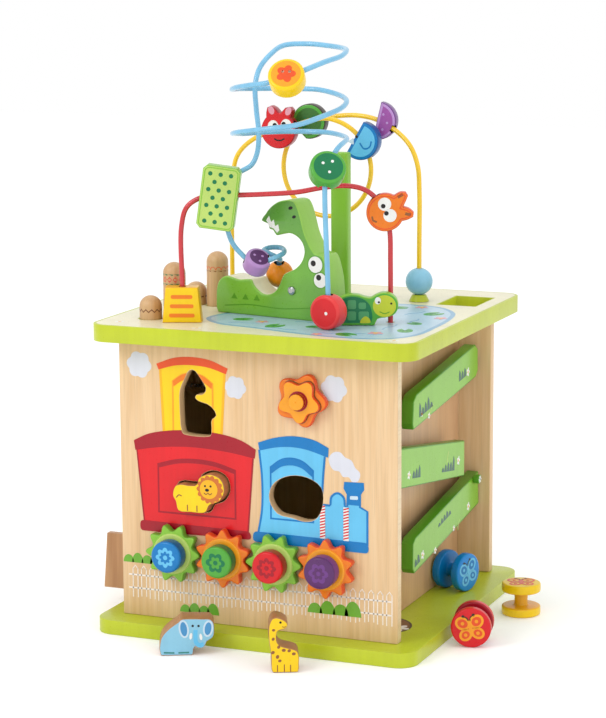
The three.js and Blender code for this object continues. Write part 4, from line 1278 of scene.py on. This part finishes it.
# ---- beads -------------------------------------------------------------------------------------
def plate_face(node, heading, origin):
    """The front of an upright plate: a Face at the given place on it, its outline, its thickness."""
    turn = math.radians(heading)
    right, toward = Vector((math.cos(turn), math.sin(turn), 0)), Vector((math.sin(turn), -math.cos(turn),
            0))
    loops, _ = flat_loops(node, toward)
    origin = Vector(origin)
    origin += toward * (loops[0][0] / MM - origin).dot(toward)
    face = Face(origin, right, UP)
    outline = anticlockwise([face.flat(p) for p in loops[0]])
    return face, outline, thickness_of(node, face)


def back_of(face, thickness):
    return Face(face.origin - face.out * thickness, -face.right, face.up)


def on_wire(wire, near):
    near = Vector(near)
    return min(ROUTES[wire], key=lambda p: (p - near).length)


def drum(name, node, toward, wire, bore, rim, disc, marks):
    """A round bead bored across, with a darker disc printed on both of its flat sides."""
    face, outline = face_of(node, toward)
    radius = sum(p.length for p in outline) / len(outline)
    thickness = thickness_of(node, face)
    made = turned(name, [(0, 0), (radius, 0), (radius, -thickness), (0, -thickness)], face.origin, face.out,
                  rim, node, 72, 3.0, node)
    drill(made, ROUTES[wire], bore, radius + 8)
    for side, plane in (("front", face), ("back", back_of(face, thickness))):
        label = printed(f"{name}_{side}_disc", [oval(0, 0, radius - 3.4, sides=56)], plane, disc, node)
        if side == "back":
            drill(label, ROUTES[wire], bore + 2, radius + 8)
        for k, (color, shapes) in enumerate(marks):
            printed(f"{name}_{side}_mark_{k + 1}", shapes, plane, color, node, 2)


def ball(name, node, near, radius, wire, bore, color):
    center = on_wire(wire, near)
    arc = [polar(radius, math.pi * (k / 28 - 0.5)) for k in range(1, 28)]
    made = turned(name, arc, center, UP, color, node, 56, 0, node)
    drill(made, ROUTES[wire], bore, radius + 6)


def flat_bead(name, node, heading, near, wire, bore, front, side, ease=1.8, arc=None):
    """A flat bead of its CAD outline, or of a part of a disc: radius, first and last angle."""
    place = on_wire(wire, near)
    face, outline, thickness = plate_face(node, heading, place)
    if arc:
        radius, start, end = arc
        outline = [polar(radius, math.radians(start + k * (end - start) / 21)) for k in range(22)]
    made = slab(name, fine(outline), thickness, face, [front, side], node, ease, node)
    drill(made, ROUTES[wire], bore, max(p.length for p in outline) + 6)
    return face, outline


def dots(*places, r=1.5):
    return [oval(x, y, r, sides=20) for x, y in places]


def drums():
    drum("red_drum_bead", "red_drum", (-0.17, -0.985, 0), "blue", 5, "rose", "red",
         [("white", dots((2.2, -0.6), r=1.7))])
    # Painted highlights: white glints on both dark green faces of the drum.
    painted_glints = dots((-5, 4), (4.5, 5.5), (0.5, -6), r=1.5)
    drum("green_drum_bead", "green_drum", (0.45, -0.72, 0.53), "blue", 6, "fern", "emerald",
         [("white", painted_glints)])
    drum("yellow_drum_bead", "yellow_drum", (0.2, -0.775, 0.57), "blue", 6, "yellow", "amber",
         [("coral", [petals(0, 0, 5, 6.5, 9.8)]), ("cream", dots((-3.4, 2.5), (3.4, 2.5), r=1.5))])
    drum("purple_drum_bead", "purple_drum", (0.52, -0.44, 0.73), "blue", 5.6, "lilac", "plum",
         [("lilac", dots((-4, 3.5), (4, 1), (-1, -5), r=1.4))])
    ball("orange_bead_ball", "orange_bead", (-27.5, -22.5, 361), 14.3, "blue", 5.6, "tangerine")
    ball("blue_bead_ball", "blue_ball", (88, YELLOW_Y, 345.5), 14.5, "yellow", 3.6, "powder")


def faces():
    """The flat beads with pictures on them."""
    face, _ = flat_bead("red_critter", "critter_bead", 4, (-66.7, 75, 503), "yellow", 5.2, "red",
                                 "crimson")
    body = "critter_bead"
    printed("critter_ears", [oval(10.6, 20.4, 3.2, 4.6, -28), oval(-8.6, 21.2, 3.2, 4.6, 22)], face,
            "pink", body)
    printed("critter_eyes", [oval(-6.6, 3.3, 6.2, 7.4), oval(8.1, 4.8, 6.2, 7.4)], face, "white", body)
    printed("critter_pupils", dots((-4.7, 5.4), (5.3, 6.8), r=2.4), face, "black", body, 2)
    printed("critter_mouth", stroke([(-5.5, -9.0), (-2.2, -10.8), (2.2, -10.9), (6.2, -8.8)], 1.6), face,
            "black", body)

    face, outline = flat_bead("green_leafy_bead", "green_bead", 4, (-40.9, 96, 511), "yellow", 5, "fern",
                                 "fern", arc=(18.8, -100, 190))
    printed("green_bead_inner", [inset(fine(outline), 4.2)], face, "moss", "green_bead")
    printed("green_bead_veins", stroke([(-6, -7), (0, 0), (7, 7)], 1.3)
            + strokes(1.0, [(0, 0), (-5, 5)], [(2, 2), (8, -1)]), face, "emerald", "green_bead", 2)

    face, outline = flat_bead("blue_bird", "bird_bead", 2, (26.2, 77, 493.8), "yellow", 5.2, "blue",
                              "cobalt", arc=(20.4, -140, 80))
    printed("bird_inner", [inset(fine(outline), 3.6)], face, "sky", "bird_bead")
    printed("bird_beak", [rounded([(-13.5, -1), (-7, 3.5), (-6.5, -4)], 1.4)], face, "ice",
            "bird_bead", 2)
    printed("bird_wing", stroke(spline([(0, -2), (5, -8), (11, -6), (13, 0)], per=5), 1.6), face,
            "blue", "bird_bead", 2)
    printed("bird_eye", dots((-3.6, 4.6), r=1.5), face, "black", "bird_bead", 2)

    face, outline = flat_bead("purple_moon", "moon_bead", 6, (37, 96, 512), "yellow", 5, "lilac",
                                 "purple", arc=(20.4, -105, 78))
    printed("moon_inner", [inset(fine(outline), 3.4)], face, "orchid", "moon_bead")
    printed("moon_dots", dots((7, 7), (11, -2), (6, -9), r=1.3), face, "lilac", "moon_bead", 2)

    heading = math.degrees(math.atan2(RED_TO.y - RED_FROM.y, RED_TO.x - RED_FROM.x))
    face, _ = flat_bead("striped_block", "stripe_block", 20, on_red(0, TOP + 18.3), "red", 4, "yellow",
                                 "gold", 1.4)
    stripes = [rounded([(-w, y - 2), (w, y - 2), (w, y + 2), (-w, y + 2)], 2)
               for w, y in ((13.0, -10.5), (12.0, -1), (11.0, 8.5))]
    printed("block_stripes", stripes, face, "orange", "stripe_block")

    face, outline = flat_bead("dotted_green_block", "dotted_block", heading, on_red(39.7, 450.9), "red",
                              5.6, "pistachio", "leaf", 1.6)
    spots = []
    for row in range(7):
        count = 3 if row % 2 == 0 else 2
        spots += [((k - (count - 1) / 2) * 10.5, 24 - row * 8) for k in range(count)]
    printed("block_dots", moved(dots(*spots, r=2.2), -1, -1.5, -8), face, "emerald", "dotted_block")
    printed("block_edge_line", [stroke(inset(rounded(outline, 3, 4), 2.2), 1.0, True)], face, "leaf",
            "dotted_block")

    face, outline = flat_bead("orange_fox", "fox_bead", 20, on_red(205.5, 435), "red", 6.5, "orange",
                                 "coral")
    body = "fox_bead"
    printed("fox_rim", [[inset(fine(outline), 1.9), inset(fine(outline), 3.0)]], face, "coral", body)
    printed("fox_ears", strokes(3.0, [(12.5, 15.5), (17.5, 18.5)], [(20, -1), (25.5, -2)]),
            face, "teak", body)
    printed("fox_eyes", [oval(-0.6, 8.6, 6.6), oval(4.8, -2.8, 6.6)], face, "white", body)
    printed("fox_pupils", dots((-2.0, 6.6), (1.2, -0.6), r=2.3), face, "black", body, 2)
    printed("fox_mouth", stroke(spline([(-13.0, -3.8), (-12.2, -7.6), (-8.4, -9.4)], per=5), 1.8), face,
            "teak", body)


# ---- animals -----------------------------------------------------------------------------------
ELEPHANT = (-74.3, -223.2, 0.3)
GIRAFFE = (51.6, -233, 0.3)
TURTLE = (72.3, -86.6, 323.3)
CROC = (-83, -59, 323.3)


def animals():
    wood = timber("shape_side", srgb(198, 146, 96), srgb(166, 112, 68), "y")

    face, outline, thickness = plate_face("lion", 0, (0, 0, 0))
    slab("lion_shape", fine(outline), thickness, face, ["yellow", wood], "lion", 1.2, "lion")
    printed("lion_mane", [petals(-48.4, 158.2, 14, 12.6, 14.8, 0, 140)], face, "mane", "lion")
    printed("lion_face", [oval(-49.6, 158.4, 9.8)], face, "gold", "lion", 2)
    printed("lion_eyes", dots((-53.6, 161.6), (-47.4, 161.8), r=1.1), face, "black", "lion", 3)
    printed("lion_nose", [oval(-51.4, 157.6, 2.2, 1.6)], face, "black", "lion", 3)
    printed("lion_smile", stroke(spline([(-55, 154.6), (-52.5, 153), (-50.6, 154.6), (-48.4, 153),
                                         (-46, 154.8)], False, 4), 0.8), face, "brown", "lion", 3)
    printed("lion_legs", strokes(1.2, [(-73.6, 134), (-73.6, 140.5)], [(-63, 134), (-63, 140.5)],
                                 spline([(-86, 147), (-83, 150), (-80, 149)], per=4)), face, "teak",
            "lion")

    face, outline, thickness = plate_face("elephant", 26, ELEPHANT)
    body = "elephant"
    slab("elephant_shape", fine(outline), thickness, face, ["powder", wood], body, 1.2, body)
    ears = ((23.6, 27.1, 5.0, 9.4, 8), (47.9, 27.0, 5.0, 8.6, -8))
    printed("elephant_ears", [oval(*ear) for ear in ears], face, "ice", body)
    printed("elephant_inner_ears", [oval(x, y, rx - 1.7, ry - 2, tilt) for x, y, rx, ry, tilt in ears],
            face, "denim", body, 2)
    printed("elephant_eyes", dots((32.6, 30.2), (38.4, 30.0), r=1.2), face, "black", body, 2)
    printed("elephant_trunk", stroke(spline([(35.4, 26), (35.2, 19), (35.8, 13), (39, 10.2), (43.2, 11)],
                                            False, 5), 4.2), face, "sky", body)
    printed("elephant_tusks", [oval(30.6, 19.6, 1.4, 3.4, -8), oval(40.6, 18.6, 1.4, 3.4, 8)], face,
            "white", body, 2)
    printed("elephant_feet", strokes(1.6, [(3.4, 3.0), (14, 2.6)], [(18, 2.6), (28.7, 2.8)]),
            face, "teal", body)

    face, outline, thickness = plate_face("giraffe", 25, GIRAFFE)
    body = "giraffe"
    slab("giraffe_shape", fine(outline), thickness, face, ["yellow", wood], body, 1.2, body)
    printed("giraffe_spots", [oval(x, y, r, r * 0.8, t) for x, y, r, t in (
        (11.4, 22.6, 2.0, 0), (16.7, 22.0, 1.8, 30), (21.2, 18.8, 1.9, 10), (6.5, 25.9, 1.8, 60),
        (5.3, 16, 2.0, 70), (7.5, 11.9, 1.7, 20), (1.2, 34, 1.7, 60), (1.6, 43, 1.6, 0),
        (0.8, 20.4, 1.9, 40))], face, "teak", body)
    printed("giraffe_eye", dots((8.4, 50.7), r=1.2), face, "black", body)
    printed("giraffe_lines", strokes(1.0, [(5.2, 0.8), (5.2, 7.6)], [(11.9, 0.8), (11.9, 8.2)],
                                     [(18, 0.8), (18, 7.8)])
            + stroke(spline([(10, 46.4), (12, 45.9), (13.6, 46.6)], per=4), 0.8), face, "teak",
            body)


def turtle():
    face, outline, thickness = plate_face("turtle", 20, TURTLE)
    slab("turtle_plate", fine(outline), thickness, face, ["fern", "leaf"], CUBE, 1.4, "turtle")
    shell = smooth([(-14.5, 4), (-14.8, 11), (-11, 20), (-4, 26.6), (3.5, 29.2), (11.5, 28.9), (18.2, 26.4),
                    (23.4, 21.5), (25.8, 14), (26.2, 7), (24.6, 3.8), (12, 3), (-4, 3)], 5)
    printed("turtle_shell", [shell], face, "emerald")
    tiles = []
    for x0, x1, y0, y1 in ((-10.5, -1.5, 15.5, 22.5), (1.5, 10, 17, 26), (12.5, 20, 17, 23.5),
                           (-11.5, -1.5, 5.5, 13), (1.5, 10, 5.5, 14.5), (12.5, 23, 5.5, 14.5)):
        tiles.append(rounded(rect(x0, y0, x1, y1), 2, 4))
    printed("turtle_tiles", tiles, face, "jade", CUBE, 2)
    printed("turtle_foot", [smooth([(14, 3.2), (16.5, 8), (19.5, 9.6), (23, 7.6), (24.4, 3.4), (19, 2.6)],
                                   5)], face, "lime", CUBE, 3)
    printed("turtle_head", [oval(38.4, 20.0, 11.6, 11.0)], face, "sprout")
    printed("turtle_eye_white", [oval(31.8, 25.4, 3.0, 3.6)], face, "white", CUBE, 2)
    printed("turtle_pupils", dots((32.8, 23.9), (45.2, 22.6), r=1.1), face, "black", CUBE, 3)
    printed("turtle_smile", stroke(spline([(33.5, 14.4), (38.5, 12.4), (43.6, 14.2)], per=5), 0.9), face,
            "leaf_side", CUBE, 2)


def edging(name, line, face, thickness, material, body):
    """Paint along part of a plate's cut side."""
    loop = anticlockwise(stroke(line, 0.5)[0])
    plane = Face(face.origin - face.out * 1.6, face.right, face.up)
    slab(name, loop, thickness - 3.2, plane, material, body, 0.1)


def crocodile():
    face, outline, thickness = plate_face("crocodile", -10.35, CROC)
    shader = Shader("crocodile_face")
    split = shader.node("ShaderNodeSeparateXYZ")
    shader.link(shader.place, split.inputs[0])
    across = shader.spread(split.outputs["X"], 0, 1, -0.09, 0.06)
    rise = shader.spread(split.outputs["Z"], 0, 1, 0.37, 0.43)
    body = shader.mix(across, srgb(138, 204, 56), srgb(94, 162, 48))
    tone = shader.mix(rise, body, srgb(78, 138, 54))
    clouds = shader.noise(30)
    tone = shader.mix(0.35, tone, shader.ramp(clouds, 0.3, 0.7, srgb(90, 158, 48), srgb(134, 202, 66)))
    peel = shader.noise(600)
    shader.cover(tone, peel, 0.26, 0.38)
    shader.bump(peel, 0.1, 0.0002)
    shader.set(Coat_Weight=0.35, Coat_Roughness=0.12)
    smoothed = fine(outline, 3, 60)
    slab("crocodile_board", smoothed, thickness, face, [shader.material, "sprout_side"], CUBE, 1.6,
         "crocodile")
    mouth = [p for p in smoothed if 12 < p.x < 102 and 22 < p.y < 52]
    mouth = sorted(mouth, key=lambda p: p.x)
    edging("crocodile_tongue", mouth[1:-1], face, thickness, "cream", CUBE)
    teeth = [(62.5, 99.8), (66.0, 104.5), (68.5, 98.2), (71.6, 101.0), (73.4, 94.4), (77.0, 96.4),
             (78.4, 90.4), (75.6, 87.6), (71.4, 91.8), (66.6, 93.2), (64.6, 96.8)]
    printed("crocodile_teeth", [straight(*teeth)], face, "white")
    printed("crocodile_eyes", [oval(121.6, 58.2, 8.4), oval(127.4, 42.6, 7.6)], face, "white")
    printed("crocodile_eye_rims", [stroke(oval(121.6, 58.2, 8.9), 1.1, True),
                                   stroke(oval(127.4, 42.6, 8.1), 1.1, True)], face, "leaf_side")
    printed("crocodile_pupils", dots((119.2, 59.4), (125.6, 45.4), r=3.0), face, "black", CUBE, 2)
    printed("crocodile_nostrils", [oval(92.1, 113.9, 2.6, 1.7, 20), oval(96.3, 105.1, 2.4, 1.6, 20)], face,
            "black")
    printed("crocodile_belly_line", stroke(spline([(10, 8), (40, 11), (80, 10), (120, 14)], per=6), 1.1),
            face, "leaf_side")
    scutes = [straight((x - 4, 16), (x, 22), (x + 4, 16)) for x in (22, 36, 50)]
    printed("crocodile_scutes", scutes, face, "leaf_side")
    rivet = face.at(93.3, 29.7, 0) / MM
    turned("crocodile_rivet_head", [(0, 3.2), (2.4, 2.9), (4.0, 1.9), (4.5, 0.4), (4.5, -0.2), (2, -0.2),
                                    (2, -9),
                                    (0, -9)], rivet, face.out, STEEL, CUBE, 48, 0, "crocodile_rivet")


boards()
top_print()
base_print()
for draw in (train, meadows, ramps, rollers, gears, star_knob, wires, pegs, drums, faces, animals, turtle,
             crocodile):
    draw()

bpy.context.view_layer.update()
